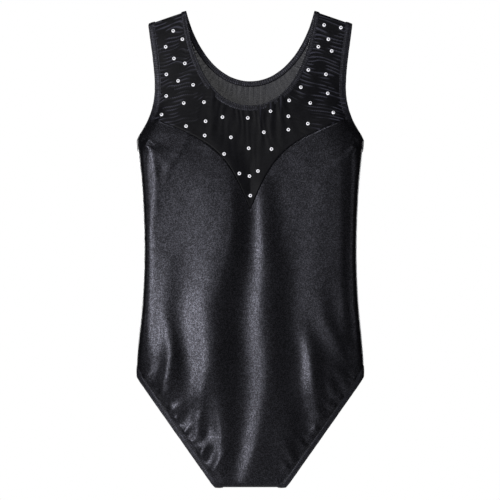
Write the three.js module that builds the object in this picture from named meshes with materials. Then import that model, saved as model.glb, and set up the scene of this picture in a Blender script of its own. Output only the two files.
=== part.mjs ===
import * as THREE from 'three';

// Sleeveless gymnastics leotard, held up at the shoulders, in millimetres.
// +Z is up, the front faces -Y and +X is to the right of someone who looks at the front.
// While shapes are worked out, heights count up from a level just above the crotch fold. The finished
// group is then lowered, so that the part's origin lies midway between the highest points of the straps.

// ---------------------------------------------------------------- driving dimensions

const FRONT = -1;
const BACK = 1;

// Corners of the flat outline, right half: x outwards from the centre line, z up.
const CROTCH = { x: 42.7, z: -8.4 };
const HIP = { x: 136.2, z: 124.2 };
const UNDERARM = { x: 136.2, z: 408.6 };
const SHOULDER_OUTER = { x: 122.4, z: 547.8 };
const SHOULDER_INNER = { x: 76.8, z: 563.4 };

// Half widths of the body along the side seam, and of the bodice along the armhole: [height, half width].
const SIDE_WIDTHS = [[124.2, 136.2], [150, 135.6], [216, 129.8], [277, 127.8], [350, 130.4], [408.6, 136.2]];
const ARMHOLE_WIDTHS = [[408.6, 136.2], [432.6, 122.4], [458, 115.2], [490, 115.2], [547.8, 122.4]];

// Half depth of the garment on its centre line: [height, half depth].
const CENTRE_DEPTHS = [[-8.4, 8], [60, 13], [130, 19], [190, 22], [277, 20], [350, 23], [410, 22],
  [450, 19], [500, 13], [564, 9]];
const SECTION_POWER = 2.5;      // how square the horizontal sections are: 2 is an ellipse
const FOLD_RADIUS = 8;          // roll of the fabric over the shoulders and under the crotch
const EDGE_HALF_GAP = 8;        // half the gap between front and back at the armholes and legs
const CLOSING_LENGTH = 10;      // height over which that gap closes at the hips and underarms
const BACK_REST_DEPTH = 20;     // the back is pressed flat at this distance from the middle

// Neck edges as cubic curves from the centre line to the top of the strap.
const FRONT_NECK = [[0, 448.2], [59.8, 448.2], [74.2, 535.9], [76.8, 563.4]];
const BACK_NECK = [[0, 481], [39.6, 481], [66.3, 521.4], [76.8, 563.4]];
const NECK_AT_SEAM_LINE = { [FRONT]: 0.56, [BACK]: 0.5 };

// Seams between yoke and body as cubic curves from the armhole to the centre line.
const FRONT_SEAM = [[121, 436], [46.8, 402.7], [29.6, 400.9], [0, 324]];
const BACK_SEAM = [[121, 436], [85, 420], [40, 404], [0, 404]];
const SEAM_END_HEIGHT = 434.5;  // where the seams run into the armhole edge

// Fabric and trim sections.
const FABRIC = 1.0;
const LINING = 0.7;
const GAP = 0.35;
const SLOT_GAP = 0.5;           // between a panel and the walls of the binding around it
const BAND_WALL = 0.6;
const ELASTIC_THICKNESS = 0.5;
const BAND_FOLD = 1.0;          // thickness of the binding at its folded outer edge
const NECK_BAND = 6.8;
const EDGE_BAND = 8.4;
const TUCK = 3.3;               // how far a panel reaches into its binding
const CLEARANCE = 0.6;          // between a binding's open side and the first free line of a panel

// Lengths of edge over which a binding's lie turns from square to its edge to the line of a seam or fold.
const HIP_TURN_LENGTH = 24;
const CROTCH_TURN_LENGTH = 20;
const SHOULDER_TURN_LENGTH = 32;
const UNDERARM_LEAN = -0.09;    // sideways lean of the armhole binding at the underarm, for each unit down

// Steps and limits of the workings.
const NORMAL_STEP = 4;          // over which the fabric's slope is measured
const SLOPE_STEP = 0.1;         // over which the armhole's slope is measured
const HALVINGS = 50;            // of an interval that holds a crossing
const LEAST_SQUARENESS = 0.3;   // keeps the gap along a seam from growing where a grid line runs beside it

// Care label, sewn into the left side seam inside the back.
const LABEL = { x: -120, width: 26, z: 190, height: 22, thickness: 0.4 };

// Crotch lining: how far it reaches up the front and the back, and how much narrower it is than the panel.
const CROTCH_LINING = { frontHeight: 100, backHeight: 60, narrowing: 0.96 };

// Rhinestones: a flat-backed stone and the places where the stones are set on the front yoke, [x, z].
const STONE = { radius: 2, girdle: 0.3, height: 1.4, tableRadius: 1.05, facets: 8 };
const STONE_PLACES = [
  [-92, 538], [-81, 528], [-101, 519], [-91, 505], [-78, 499], [-100, 486], [-86, 478], [-68, 473],
  [-100, 460], [-79, 451], [-55, 452], [-105, 437], [-53, 429], [-33, 434], [-3, 433], [-76, 423],
  [-54, 412], [-23, 410], [-2, 397], [-31, 390], [-13, 367], [-1, 364], [9, 370], [0, 341],
  [88, 545], [108, 542], [93, 528], [81, 519], [97, 514], [69, 491], [90, 486], [60, 470],
  [92, 463], [46, 454], [71, 451], [24, 441], [45, 435], [98, 439], [68, 426], [45, 419],
  [16, 416], [25, 396],
];

// Where the grid lines of the panels run.
const COLUMNS = [0, 0.08, 0.19, 0.32, 0.47, 0.63, 0.78, 0.9, 0.97, 1];
const quarterTurn = (steps) => Array.from({ length: steps + 1 }, (_, i) => (Math.PI / 2) * (i / steps));
const FOLD_TURN = quarterTurn(3);
const CLOSING_TURN = quarterTurn(5);
const LEG_HEIGHTS = [20, 44, 68, 90, 102, 109];
const UNDERARM_HEIGHTS = [423, 428.5];
const SIDE_HEIGHTS = [170, 210, 255, 300];
const UPPER_SIDE_HEIGHTS = [330, 360];
const STRAP_HEIGHTS = [448, 462, 478, 494, 510, 525];
const YOKE_DIVISIONS = 4;

// ---------------------------------------------------------------- materials

const finish = (color, roughness, metalness) => new THREE.MeshStandardMaterial({ color, roughness, metalness });
const FOIL_FABRIC = finish(0x303034, 0.42, 0.25);
const SHEER_MESH = finish(0x18181a, 0.85, 0);
const LINING_KNIT = finish(0x101012, 0.9, 0);
const BINDING_KNIT = finish(0x222226, 0.6, 0.1);
const ELASTIC = finish(0xe8e6e0, 0.8, 0);
const LABEL_SATIN = finish(0xf2f2f0, 0.55, 0);
const CRYSTAL = finish(0xd8dde6, 0.08, 0.6);

// ---------------------------------------------------------------- curves of the outline

// A smooth line through [position, value] points: cubic pieces that share their slopes.
function smoothThrough(points) {
  const slopes = points.map((point, i) => {
    const before = points[Math.max(i - 1, 0)];
    const after = points[Math.min(i + 1, points.length - 1)];
    return (after[1] - before[1]) / (after[0] - before[0]);
  });
  return (position) => {
    let i = 0;
    while (i < points.length - 2 && position > points[i + 1][0]) i += 1;
    const length = points[i + 1][0] - points[i][0];
    const t = THREE.MathUtils.clamp((position - points[i][0]) / length, 0, 1);
    const beyond = position - THREE.MathUtils.clamp(position, points[i][0], points[i + 1][0]);
    const rise = points[i + 1][1] - points[i][1];
    const startSlope = slopes[i] * length;
    const endSlope = slopes[i + 1] * length;
    const value = points[i][1] + startSlope * t + (3 * rise - 2 * startSlope - endSlope) * t * t
      + (startSlope + endSlope - 2 * rise) * t * t * t;
    return value + beyond * slopes[beyond > 0 ? i + 1 : i];
  };
}

const sideHalfWidth = smoothThrough(SIDE_WIDTHS);
const armholeHalfWidth = smoothThrough(ARMHOLE_WIDTHS);
const centreDepth = smoothThrough(CENTRE_DEPTHS);

function legHalfWidth(z) {
  return CROTCH.x + (HIP.x - CROTCH.x) * ((z - CROTCH.z) / (HIP.z - CROTCH.z));
}

function halfWidth(z) {
  if (z < HIP.z) return legHalfWidth(z);
  return z <= UNDERARM.z ? sideHalfWidth(z) : armholeHalfWidth(z);
}

function cubic(points) {
  const [a, b, c, d] = points.map(([x, z]) => new THREE.Vector2(x, z));
  return new THREE.CubicBezierCurve(a, b, c, d);
}

const NECKS = { [FRONT]: cubic(FRONT_NECK), [BACK]: cubic(BACK_NECK) };
const SEAMS = { [FRONT]: cubic(FRONT_SEAM), [BACK]: cubic(BACK_SEAM) };

// Finds where a falling or rising function crosses zero between two values.
function solve(excess, low, high) {
  let [from, to] = excess(low) < excess(high) ? [low, high] : [high, low];
  for (let step = 0; step < HALVINGS; step += 1) {
    const middle = (from + to) / 2;
    if (excess(middle) < 0) from = middle;
    else to = middle;
  }
  return (from + to) / 2;
}

const shoulderRun = new THREE.Vector2(SHOULDER_OUTER.x - SHOULDER_INNER.x, SHOULDER_OUTER.z - SHOULDER_INNER.z)
  .normalize();

// Distance of a point of the flat outline below the line of the shoulder.
function belowShoulder(x, z) {
  return (x - SHOULDER_INNER.x) * shoulderRun.y - (z - SHOULDER_INNER.z) * shoulderRun.x;
}

// ---------------------------------------------------------------- the garment's surface

// Square of the rise of a quarter circle: 0 at the fold, 1 once the distance reaches the radius.
const rollSquared = (t) => (t < 1 ? 2 * t - t * t : 1);

function edgeGapSquared(z) {
  if (z < HIP.z) return EDGE_HALF_GAP ** 2 * rollSquared((HIP.z - z) / CLOSING_LENGTH);
  if (z <= UNDERARM.z) return 0;
  return EDGE_HALF_GAP ** 2 * rollSquared((z - UNDERARM.z) / CLOSING_LENGTH);
}

function halfDepthSquared(x, z) {
  const across = Math.abs(x) / halfWidth(z);
  const edge = edgeGapSquared(z);
  const section = edge + (centreDepth(z) ** 2 - edge) * (1 - across ** SECTION_POWER);
  return section * rollSquared((z - CROTCH.z) / FOLD_RADIUS)
    * rollSquared(belowShoulder(Math.abs(x), z) / FOLD_RADIUS);
}

// A point of the fabric's outer face over (x, z), with its outward normal.
function onFabric(side, x, z) {
  const squared = Math.max(halfDepthSquared(x, z), 0);
  if (side === BACK && squared > BACK_REST_DEPTH ** 2) {
    return { point: new THREE.Vector3(x, BACK_REST_DEPTH + GAP / 2, z), normal: new THREE.Vector3(0, 1, 0) };
  }
  const step = NORMAL_STEP;
  const alongX = (halfDepthSquared(x + step, z) - halfDepthSquared(x - step, z)) / (2 * step);
  const alongZ = (halfDepthSquared(x, z + step) - halfDepthSquared(x, z - step)) / (2 * step);
  const depth = Math.sqrt(squared);
  return {
    point: new THREE.Vector3(x, side * (depth + GAP / 2), z),
    normal: new THREE.Vector3(-alongX, side * 2 * depth, -alongZ).normalize(),
  };
}

// A vertex of a layer is a function from the depth under the fabric's outer face to a point.
function fabricVertex(side, x, z) {
  const { point, normal } = onFabric(side, x, z);
  return (depth) => point.clone().addScaledVector(normal, -depth);
}

const mirrored = (vertex) => (depth) => vertex(depth).setX(-vertex(depth).x);

// ---------------------------------------------------------------- stations along the bound edges

// A station is a line across a binding: from the folded edge to the binding's open side.
// A fold station lies in the middle plane, where the binding passes from the front to the back.
function station(side, edge, across, square, width, foldNormal) {
  const reach = width / across.dot(square);
  const open = { x: edge.x + across.x * reach, z: edge.z + across.y * reach };
  let [outer, inner] = [onFabric(side, edge.x, edge.z), onFabric(side, open.x, open.z)];
  if (foldNormal) {
    const normal = new THREE.Vector3(foldNormal.x, 0, foldNormal.y);
    outer = { point: new THREE.Vector3(edge.x, 0, edge.z), normal };
    inner = { point: new THREE.Vector3(open.x, 0, open.z), normal };
  }
  const at = (distance, depth) => {
    const from = outer.point.clone().addScaledVector(outer.normal, -depth);
    const to = inner.point.clone().addScaledVector(inner.normal, -depth);
    return from.lerp(to, distance / width);
  };
  return { at, width };
}

const mirroredStation = ({ at, width }) => ({
  at: (distance, depth) => at(distance, depth).setX(-at(distance, depth).x),
  width,
});

// At a fold a panel's edge keeps half the gap to the middle plane, so front and back don't touch.
function stationVertex(side, line, distance) {
  return (depth) => {
    const point = line.at(distance, depth);
    if (Math.abs(point.y) < GAP / 2) point.y = (side * GAP) / 2;
    return point;
  };
}

const freeVertex = (side, line) => stationVertex(side, line, line.width + CLEARANCE);
const tuckedVertex = (side, line) => stationVertex(side, line, line.width - TUCK);

const blend = (a, b, t) => a.clone().lerp(b, THREE.MathUtils.smoothstep(t, 0, 1)).normalize();

function legStations(side) {
  const square = new THREE.Vector2(-(HIP.z - CROTCH.z), HIP.x - CROTCH.x).normalize();
  const atCrotch = new THREE.Vector2(-1, 0);
  const atHip = new THREE.Vector2(0, 1);
  const heights = [
    ...FOLD_TURN.map((turn) => CROTCH.z + FOLD_RADIUS * (1 - Math.cos(turn))),
    ...LEG_HEIGHTS,
    ...CLOSING_TURN.map((turn) => HIP.z - CLOSING_LENGTH * (1 - Math.cos(turn))).reverse(),
  ];
  return heights.map((z, i) => {
    const edge = { x: legHalfWidth(z), z };
    const nearHip = blend(square, atHip, 1 - (HIP.z - z) / HIP_TURN_LENGTH);
    const nearCrotch = blend(atCrotch, square, (z - CROTCH.z) / CROTCH_TURN_LENGTH);
    const across = z < HIP.z / 2 ? nearCrotch : nearHip;
    if (i === 0) return station(side, edge, atCrotch, square, EDGE_BAND, new THREE.Vector2(0, -1));
    if (i === heights.length - 1) return station(side, edge, atHip, square, EDGE_BAND, new THREE.Vector2(1, 0));
    return station(side, edge, across, square, EDGE_BAND);
  });
}

// Returns the stations from the underarm to the shoulder, and where the seam falls among them.
function armholeStations(side) {
  const foldHeight = (turn) => solve(
    (z) => FOLD_RADIUS * (1 - Math.cos(turn)) - belowShoulder(armholeHalfWidth(z), z),
    SHOULDER_OUTER.z - 2 * FOLD_RADIUS,
    SHOULDER_OUTER.z + 1,
  );
  const low = [
    ...CLOSING_TURN.map((turn) => UNDERARM.z + CLOSING_LENGTH * (1 - Math.cos(turn))),
    ...UNDERARM_HEIGHTS,
    SEAM_END_HEIGHT,
  ];
  const heights = [
    ...low,
    SEAM_END_HEIGHT + GAP,
    ...STRAP_HEIGHTS,
    ...[...FOLD_TURN].reverse().map(foldHeight),
  ];
  const downSeam = new THREE.Vector2(UNDERARM_LEAN, -1).normalize();
  const shoulder = shoulderRun.clone().negate();
  const lines = heights.map((z, i) => {
    const slope = (armholeHalfWidth(z + SLOPE_STEP) - armholeHalfWidth(z - SLOPE_STEP)) / (2 * SLOPE_STEP);
    const square = new THREE.Vector2(-1, slope).normalize();
    const edge = { x: armholeHalfWidth(z), z };
    const rise = (z - UNDERARM.z) / (SEAM_END_HEIGHT - UNDERARM.z);
    const nearShoulder = blend(shoulder, square, belowShoulder(edge.x, z) / SHOULDER_TURN_LENGTH);
    const across = rise < 1 ? blend(downSeam, square, rise) : nearShoulder;
    if (i === 0) return station(side, edge, downSeam, square, EDGE_BAND, new THREE.Vector2(1, 0));
    if (i < heights.length - 1) return station(side, edge, across, square, EDGE_BAND);
    return station(side, edge, shoulder, square, EDGE_BAND, new THREE.Vector2(-shoulderRun.y, shoulderRun.x));
  });
  return { lines, seam: low.length - 1 };
}

// Neck stations from the shoulder to the centre line, one for each line of the yoke's grid.
function neckStations(side, strapLines) {
  const curve = NECKS[side];
  const rolled = FOLD_TURN.map((turn) => solve(
    (t) => belowShoulder(curve.getPoint(t).x, curve.getPoint(t).y) - FOLD_RADIUS * (1 - Math.cos(turn)),
    1,
    0.5,
  ));
  const last = rolled[rolled.length - 1];
  const seamLine = NECK_AT_SEAM_LINE[side];
  const straight = strapLines - rolled.length;
  const strap = Array.from({ length: straight }, (_, i) => last + (seamLine - last) * ((i + 1) / straight));
  const chest = [...COLUMNS].reverse().slice(1).map((column) => seamLine * column);
  return [...rolled, ...strap, ...chest].map((t, i) => {
    const { x, y } = curve.getPoint(t);
    const tangent = curve.getTangent(t);
    const square = new THREE.Vector2(tangent.y, -tangent.x);
    if (i === 0) {
      const foldNormal = new THREE.Vector2(-shoulderRun.y, shoulderRun.x);
      return station(side, { x, z: y }, shoulderRun, square, NECK_BAND, foldNormal);
    }
    const across = blend(shoulderRun, square, belowShoulder(x, y) / SHOULDER_TURN_LENGTH);
    return station(side, { x, z: y }, across, square, NECK_BAND);
  });
}

const EDGES = Object.fromEntries([FRONT, BACK].map((side) => {
  const leg = legStations(side);
  const armhole = armholeStations(side);
  const strapLines = armhole.lines.length - 1 - armhole.seam;
  return [side, { leg, armhole, strapLines, neck: neckStations(side, strapLines) }];
}));

// ---------------------------------------------------------------- closed solids from layers

function solidFrom(points, triangles) {
  const volume = triangles.reduce((sum, [a, b, c]) => (
    sum + points[a].dot(points[b].clone().cross(points[c]))
  ), 0);
  const facing = volume < 0 ? triangles.map(([a, b, c]) => [a, c, b]) : triangles;
  const geometry = new THREE.BufferGeometry();
  geometry.setAttribute('position', new THREE.Float32BufferAttribute(points.flatMap((p) => p.toArray()), 3));
  geometry.setIndex(facing.flat());
  const faceted = geometry.toNonIndexed();
  faceted.computeVertexNormals();
  return faceted;
}

// Gives a sheet of vertices and four-sided faces its thickness, and closes its border with walls.
function layer(vertices, faces, top, bottom) {
  const count = vertices.length;
  const points = [...vertices.map((vertex) => vertex(top)), ...vertices.map((vertex) => vertex(bottom))];
  const split = faces.flatMap(([a, b, c, d]) => [[a, b, c], [a, c, d]]);
  const sides = split.flatMap(([a, b, c]) => [[a, b], [b, c], [c, a]]);
  const used = new Set(sides.map(([from, to]) => `${from}_${to}`));
  const border = sides.filter(([from, to]) => !used.has(`${to}_${from}`));
  const walls = border.flatMap(([from, to]) => [[to, from, from + count], [to, from + count, to + count]]);
  const under = split.map(([a, b, c]) => [a + count, c + count, b + count]);
  return solidFrom(points, [...split, ...under, ...walls]);
}

// Collects rows of vertices, with strips added along their ends, into one sheet.
class Sheet {
  constructor() {
    this.vertices = [];
    this.faces = [];
  }

  add(row) {
    const first = this.vertices.length;
    this.vertices.push(...row);
    return row.map((_, i) => first + i);
  }

  join(rowA, rowB) {
    for (let i = 0; i < rowA.length - 1; i += 1) {
      this.faces.push([rowA[i], rowA[i + 1], rowB[i + 1], rowB[i]]);
    }
  }
}

// A binding or elastic: a section of [distance from the edge, depth] points, carried round a closed loop.
function ring(lines, section) {
  const points = lines.flatMap((line) => section.map(([distance, depth]) => line.at(distance, depth)));
  const size = section.length;
  const triangles = [];
  lines.forEach((_, i) => {
    const here = i * size;
    const next = ((i + 1) % lines.length) * size;
    section.forEach((__, j) => {
      const k = (j + 1) % size;
      triangles.push([here + j, next + j, next + k], [here + j, next + k, here + k]);
    });
  });
  return solidFrom(points, triangles);
}

function bindingSection(width) {
  const top = -(SLOT_GAP + BAND_WALL);
  const bottom = FABRIC + SLOT_GAP + BAND_WALL;
  return [
    [width, top], [0, top], [0, bottom], [width, bottom],
    [width, bottom - BAND_WALL], [BAND_FOLD, bottom - BAND_WALL], [BAND_FOLD, top + BAND_WALL],
    [width, top + BAND_WALL],
  ];
}

function elasticSection(width) {
  const [near, far] = [BAND_FOLD + GAP, width - TUCK - GAP];
  const [top, bottom] = [(FABRIC - ELASTIC_THICKNESS) / 2, (FABRIC + ELASTIC_THICKNESS) / 2];
  return [[far, top], [near, top], [near, bottom], [far, bottom]];
}

// The loop of an opening: up the front, over the fold, down the back and under the other fold.
const loop = (front, back) => [...front, ...back.slice(1, -1).reverse()];

// ---------------------------------------------------------------- panels

// The foil panel of one side: from the crotch fold to the seam under the yoke.
function bodyPanel(side) {
  const { leg, armhole } = EDGES[side];
  const sheet = new Sheet();
  const columns = [...COLUMNS.slice(1).reverse().map((column) => -column), ...COLUMNS];
  const rowAt = (x, z, end) => {
    const inner = columns.slice(1, -1).map((column) => fabricVertex(side, column * x, z));
    return [mirrored(end), ...inner, end];
  };

  const legEnds = leg.map((line) => freeVertex(side, line));
  const lower = [
    ...legEnds.map((end) => rowAt(end(0).x, end(0).z, end)),
    ...SIDE_HEIGHTS.map((z) => rowAt(halfWidth(z), z, fabricVertex(side, halfWidth(z), z))),
  ].map((row) => sheet.add(row));

  const under = armhole.lines.slice(0, armhole.seam + 1);
  const ends = [
    ...UPPER_SIDE_HEIGHTS.map((z) => fabricVertex(side, halfWidth(z), z)),
    ...under.map((line) => freeVertex(side, line)),
  ];
  const upper = shapedRows(side, columns, ends).map((row) => sheet.add(row));

  const rows = [...lower, ...upper];
  rows.slice(1).forEach((row, i) => sheet.join(rows[i], row));
  const last = columns.length - 1;
  addTuck(sheet, side, rows.slice(0, leg.length), leg, last);
  addTuck(sheet, side, rows.slice(rows.length - under.length), under, last);
  return layer(sheet.vertices, sheet.faces, 0, FABRIC);
}

// Rows between the last level row and the seam: each point is a mean of the four borders around it.
function shapedRows(side, columns, ends) {
  const base = { x: halfWidth(SIDE_HEIGHTS[SIDE_HEIGHTS.length - 1]), z: SIDE_HEIGHTS[SIDE_HEIGHTS.length - 1] };
  const corner = ends[ends.length - 1](0);
  const top = seamPoints(side, corner);
  return ends.map((end) => {
    const { x, z } = end(0);
    const rise = (z - base.z) / (corner.z - base.z);
    const inner = columns.slice(1, -1).map((column) => {
      const seam = top(Math.abs(column));
      const pull = x - base.x - rise * (corner.x - base.x);
      const px = column * base.x * (1 - rise) + Math.sign(column) * seam.x * rise + column * pull;
      return fabricVertex(side, px, base.z + (seam.z - base.z) * rise);
    });
    return [mirrored(end), ...inner, end];
  });
}

// The seam's point for a column, from the centre line out to the corner at the armhole.
function seamPoints(side, corner) {
  const curve = SEAMS[side];
  return (column) => {
    if (column === 1) return { x: corner.x, z: corner.z };
    const x = column * corner.x;
    const t = column === 0 ? 1 : solve((value) => curve.getPoint(value).x - x, 0, 1);
    return { x, z: curve.getPoint(t).y };
  };
}

// Adds the strips at both ends of some rows that reach into the bindings.
function addTuck(sheet, side, rows, lines, last) {
  const right = sheet.add(lines.map((line) => tuckedVertex(side, line)));
  const left = sheet.add(lines.map((line) => mirrored(tuckedVertex(side, line))));
  rows.slice(1).forEach((row, i) => {
    sheet.faces.push([rows[i][last], right[i], right[i + 1], row[last]]);
    sheet.faces.push([left[i], rows[i][0], row[0], left[i + 1]]);
  });
}

// Lines of the yoke's grid on the right half: from the neck to the armhole, then from the neck to the seam.
function yokeLines(side) {
  const { armhole, strapLines, neck } = EDGES[side];
  const strap = armhole.lines.slice(armhole.seam + 1).reverse();
  const corner = freeVertex(side, armhole.lines[armhole.seam])(0);
  const seam = seamPoints(side, corner);
  const columns = [...COLUMNS].reverse();
  const seamEdge = columns.map((column) => seam(column));
  const outer = neck.map((_, i) => {
    if (i < strapLines) return freeVertex(side, strap[i]);
    const place = i - strapLines + 1;
    const before = seamEdge[place - 1];
    const after = seamEdge[place + 1] ?? { x: -before.x, z: before.z };
    const run = new THREE.Vector2(after.x - before.x, after.z - before.z).normalize();
    const rise = new THREE.Vector2(seamEdge[place].x - before.x, seamEdge[place].z - before.z).normalize();
    const lift = GAP / Math.max(Math.abs(run.dot(rise)), LEAST_SQUARENESS);
    return fabricVertex(side, seamEdge[place].x + run.y * lift, seamEdge[place].z - run.x * lift);
  });
  return { strap, lines: neck.map((line, i) => ({ neck: line, outer: outer[i] })) };
}

// A layer of the yoke: a horseshoe from one shoulder, under the neck, to the other shoulder.
function yokePanel(side, top, bottom, tucked) {
  const { strap, lines } = yokeLines(side);
  const sheet = new Sheet();
  const halfRow = ({ neck, outer }) => {
    const [from, to] = [freeVertex(side, neck), outer];
    const [a, b] = [from(0), to(0)];
    const inner = Array.from({ length: YOKE_DIVISIONS - 1 }, (_, i) => {
      const place = a.clone().lerp(b, (i + 1) / YOKE_DIVISIONS);
      return fabricVertex(side, place.x, place.z);
    });
    return [from, ...inner, to];
  };
  const right = lines.map(halfRow);
  const left = right.slice(0, -1).map((row) => row.map(mirrored));
  const rows = [...right, ...left.reverse()].map((row) => sheet.add(row));
  rows.slice(1).forEach((row, i) => sheet.join(rows[i], row));
  if (tucked) {
    const neckLines = lines.map((line) => line.neck);
    const allNeck = [...neckLines, ...neckLines.slice(0, -1).reverse().map(mirroredStation)];
    const neckEdge = sheet.add(allNeck.map((line) => tuckedVertex(side, line)));
    rows.slice(1).forEach((row, i) => sheet.faces.push([neckEdge[i], rows[i][0], row[0], neckEdge[i + 1]]));
    addArmTuck(sheet, side, rows, strap.map((line) => tuckedVertex(side, line)));
  }
  return layer(sheet.vertices, sheet.faces, top, bottom);
}

// The strips of the straps that reach into the two armhole bindings.
function addArmTuck(sheet, side, rows, edge) {
  const right = sheet.add(edge);
  const left = sheet.add(edge.map(mirrored));
  const backwards = [...rows].reverse();
  for (let i = 0; i < edge.length - 1; i += 1) {
    sheet.faces.push([rows[i][YOKE_DIVISIONS], right[i], right[i + 1], rows[i + 1][YOKE_DIVISIONS]]);
    const [here, next] = [backwards[i][YOKE_DIVISIONS], backwards[i + 1][YOKE_DIVISIONS]];
    sheet.faces.push([left[i], here, next, left[i + 1]]);
  }
}

// The lining inside the crotch, in one piece from the front round the fold to the back.
function crotchLining() {
  const columns = [...COLUMNS.slice(1).reverse().map((column) => -column), ...COLUMNS];
  const rowsOf = (side, height) => EDGES[side].leg.slice(1)
    .map((line) => freeVertex(side, line)(0))
    .filter(({ z }) => z < height)
    .map(({ x, z }) => columns.map((column) => (
      fabricVertex(side, column * x * CROTCH_LINING.narrowing, z)
    )));
  const bottom = EDGES[FRONT].leg[0].at(EDGE_BAND + CLEARANCE, 0).x * CROTCH_LINING.narrowing;
  const fold = columns.map((column) => (depth) => new THREE.Vector3(column * bottom, 0, CROTCH.z + depth));
  const sheet = new Sheet();
  const rows = [
    ...rowsOf(FRONT, CROTCH_LINING.frontHeight).reverse(),
    fold,
    ...rowsOf(BACK, CROTCH_LINING.backHeight),
  ].map((row) => sheet.add(row));
  rows.slice(1).forEach((row, i) => sheet.join(rows[i], row));
  return layer(sheet.vertices, sheet.faces, FABRIC + GAP, FABRIC + GAP + LINING);
}

function careLabel() {
  const sheet = new Sheet();
  const rows = [0, 1].map((v) => sheet.add([0, 0.25, 0.5, 0.75, 1].map((u) => (
    fabricVertex(BACK, LABEL.x + u * LABEL.width, LABEL.z + v * LABEL.height)
  ))));
  sheet.join(rows[0], rows[1]);
  const top = FABRIC + 2 * GAP;
  return layer(sheet.vertices, sheet.faces, top, top + LABEL.thickness);
}

// ---------------------------------------------------------------- rhinestones

function stoneGeometry() {
  const { radius, girdle, height, tableRadius, facets } = STONE;
  const profile = [[0, 0], [radius, 0], [radius, girdle], [tableRadius, height], [0, height]];
  const turned = new THREE.LatheGeometry(profile.map(([r, h]) => new THREE.Vector2(r, h)), facets);
  turned.rotateX(Math.PI / 2);
  return turned;
}

function stone(geometry, x, z) {
  const { point, normal } = onFabric(FRONT, x, z);
  const mesh = new THREE.Mesh(geometry, CRYSTAL);
  mesh.position.copy(point).addScaledVector(normal, GAP);
  mesh.quaternion.setFromUnitVectors(new THREE.Vector3(0, 0, 1), normal);
  return mesh;
}

// ---------------------------------------------------------------- assembly

const leotard = new THREE.Group();
leotard.position.z = -SHOULDER_INNER.z;

function place(name, geometry, material) {
  const mesh = new THREE.Mesh(geometry, material);
  mesh.name = name;
  leotard.add(mesh);
}

place('front_body', bodyPanel(FRONT), FOIL_FABRIC);
place('back_body', bodyPanel(BACK), FOIL_FABRIC);
place('front_yoke_mesh', yokePanel(FRONT, 0, FABRIC, true), SHEER_MESH);
place('front_yoke_lining', yokePanel(FRONT, FABRIC + GAP, FABRIC + GAP + LINING, false), LINING_KNIT);
place('back_yoke_mesh', yokePanel(BACK, 0, FABRIC, true), SHEER_MESH);
place('crotch_lining', crotchLining(), LINING_KNIT);
place('care_label', careLabel(), LABEL_SATIN);

const neckFront = EDGES[FRONT].neck;
const neckBack = EDGES[BACK].neck;
const fullWidth = (lines) => [...lines, ...lines.slice(0, -1).reverse().map(mirroredStation)];
const neckLoop = loop(fullWidth(neckFront), fullWidth(neckBack));
place('neck_binding', ring(neckLoop, bindingSection(NECK_BAND)), BINDING_KNIT);
place('neck_elastic', ring(neckLoop, elasticSection(NECK_BAND)), ELASTIC);

const sideLoops = {
  armhole: loop(EDGES[FRONT].armhole.lines, EDGES[BACK].armhole.lines),
  leg: loop(EDGES[FRONT].leg, EDGES[BACK].leg),
};
Object.entries(sideLoops).forEach(([opening, right]) => {
  const left = right.map(mirroredStation);
  [['right', right], ['left', left]].forEach(([hand, lines]) => {
    place(`${opening}_binding_${hand}`, ring(lines, bindingSection(EDGE_BAND)), BINDING_KNIT);
    place(`${opening}_elastic_${hand}`, ring(lines, elasticSection(EDGE_BAND)), ELASTIC);
  });
});

const cut = stoneGeometry();
STONE_PLACES.forEach(([x, z], i) => {
  const mesh = stone(cut, x, z);
  mesh.name = `rhinestone_${String(i + 1).padStart(2, '0')}`;
  leotard.add(mesh);
});

export default leotard;
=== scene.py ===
"""Sleeveless gymnastics leotard, hung up by its straps, with its front towards the camera.

Every size is in metres. While shapes are worked out, heights count up from a level just above the
crotch fold, and the tops of the straps are SHOULDER_HEIGHT above it. The last step of each mesh lowers
it into the frame, whose origin lies between the tops of the two straps.
"""
import logging
import math
from dataclasses import dataclass, field
from enum import Enum
from typing import Callable, Mapping, Sequence, Union

import bpy
import numpy as np
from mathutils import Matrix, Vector


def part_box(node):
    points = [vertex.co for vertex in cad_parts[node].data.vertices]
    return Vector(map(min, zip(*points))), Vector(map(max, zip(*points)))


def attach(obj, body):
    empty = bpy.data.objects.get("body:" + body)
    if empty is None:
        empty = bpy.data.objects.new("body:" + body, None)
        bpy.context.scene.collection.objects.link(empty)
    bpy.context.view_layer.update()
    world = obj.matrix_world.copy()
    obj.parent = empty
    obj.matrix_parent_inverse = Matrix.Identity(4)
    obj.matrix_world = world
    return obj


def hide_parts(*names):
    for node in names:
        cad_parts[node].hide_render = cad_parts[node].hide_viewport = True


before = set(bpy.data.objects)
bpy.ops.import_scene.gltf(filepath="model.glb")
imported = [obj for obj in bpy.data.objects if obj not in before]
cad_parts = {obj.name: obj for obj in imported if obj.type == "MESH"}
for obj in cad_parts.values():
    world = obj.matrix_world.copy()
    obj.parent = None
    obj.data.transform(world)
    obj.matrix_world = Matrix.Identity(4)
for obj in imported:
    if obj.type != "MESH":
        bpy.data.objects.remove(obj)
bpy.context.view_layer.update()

log = logging.getLogger("leotard")
Array = np.ndarray
Curve = Callable[[Array], Array]

BODY = "root"
SHOULDER_HEIGHT = 0.5634
CROTCH_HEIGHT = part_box("front_body")[0].z + SHOULDER_HEIGHT
HALF_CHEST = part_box("leg_binding_right")[1].x - 0.0011
TURN = 2 * math.pi
SEAM_REACH = 0.121
ROLL_STEPS = 17
CURVE_STEP = 0.001
MIRROR = np.array([-1.0, 1.0, 1.0])


class Side(Enum):
    """The two halves of the garment, with the sign of y on each."""

    FRONT = -1.0
    BACK = 1.0


# ------------------------------------------------------------------------------------------ curves


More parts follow.
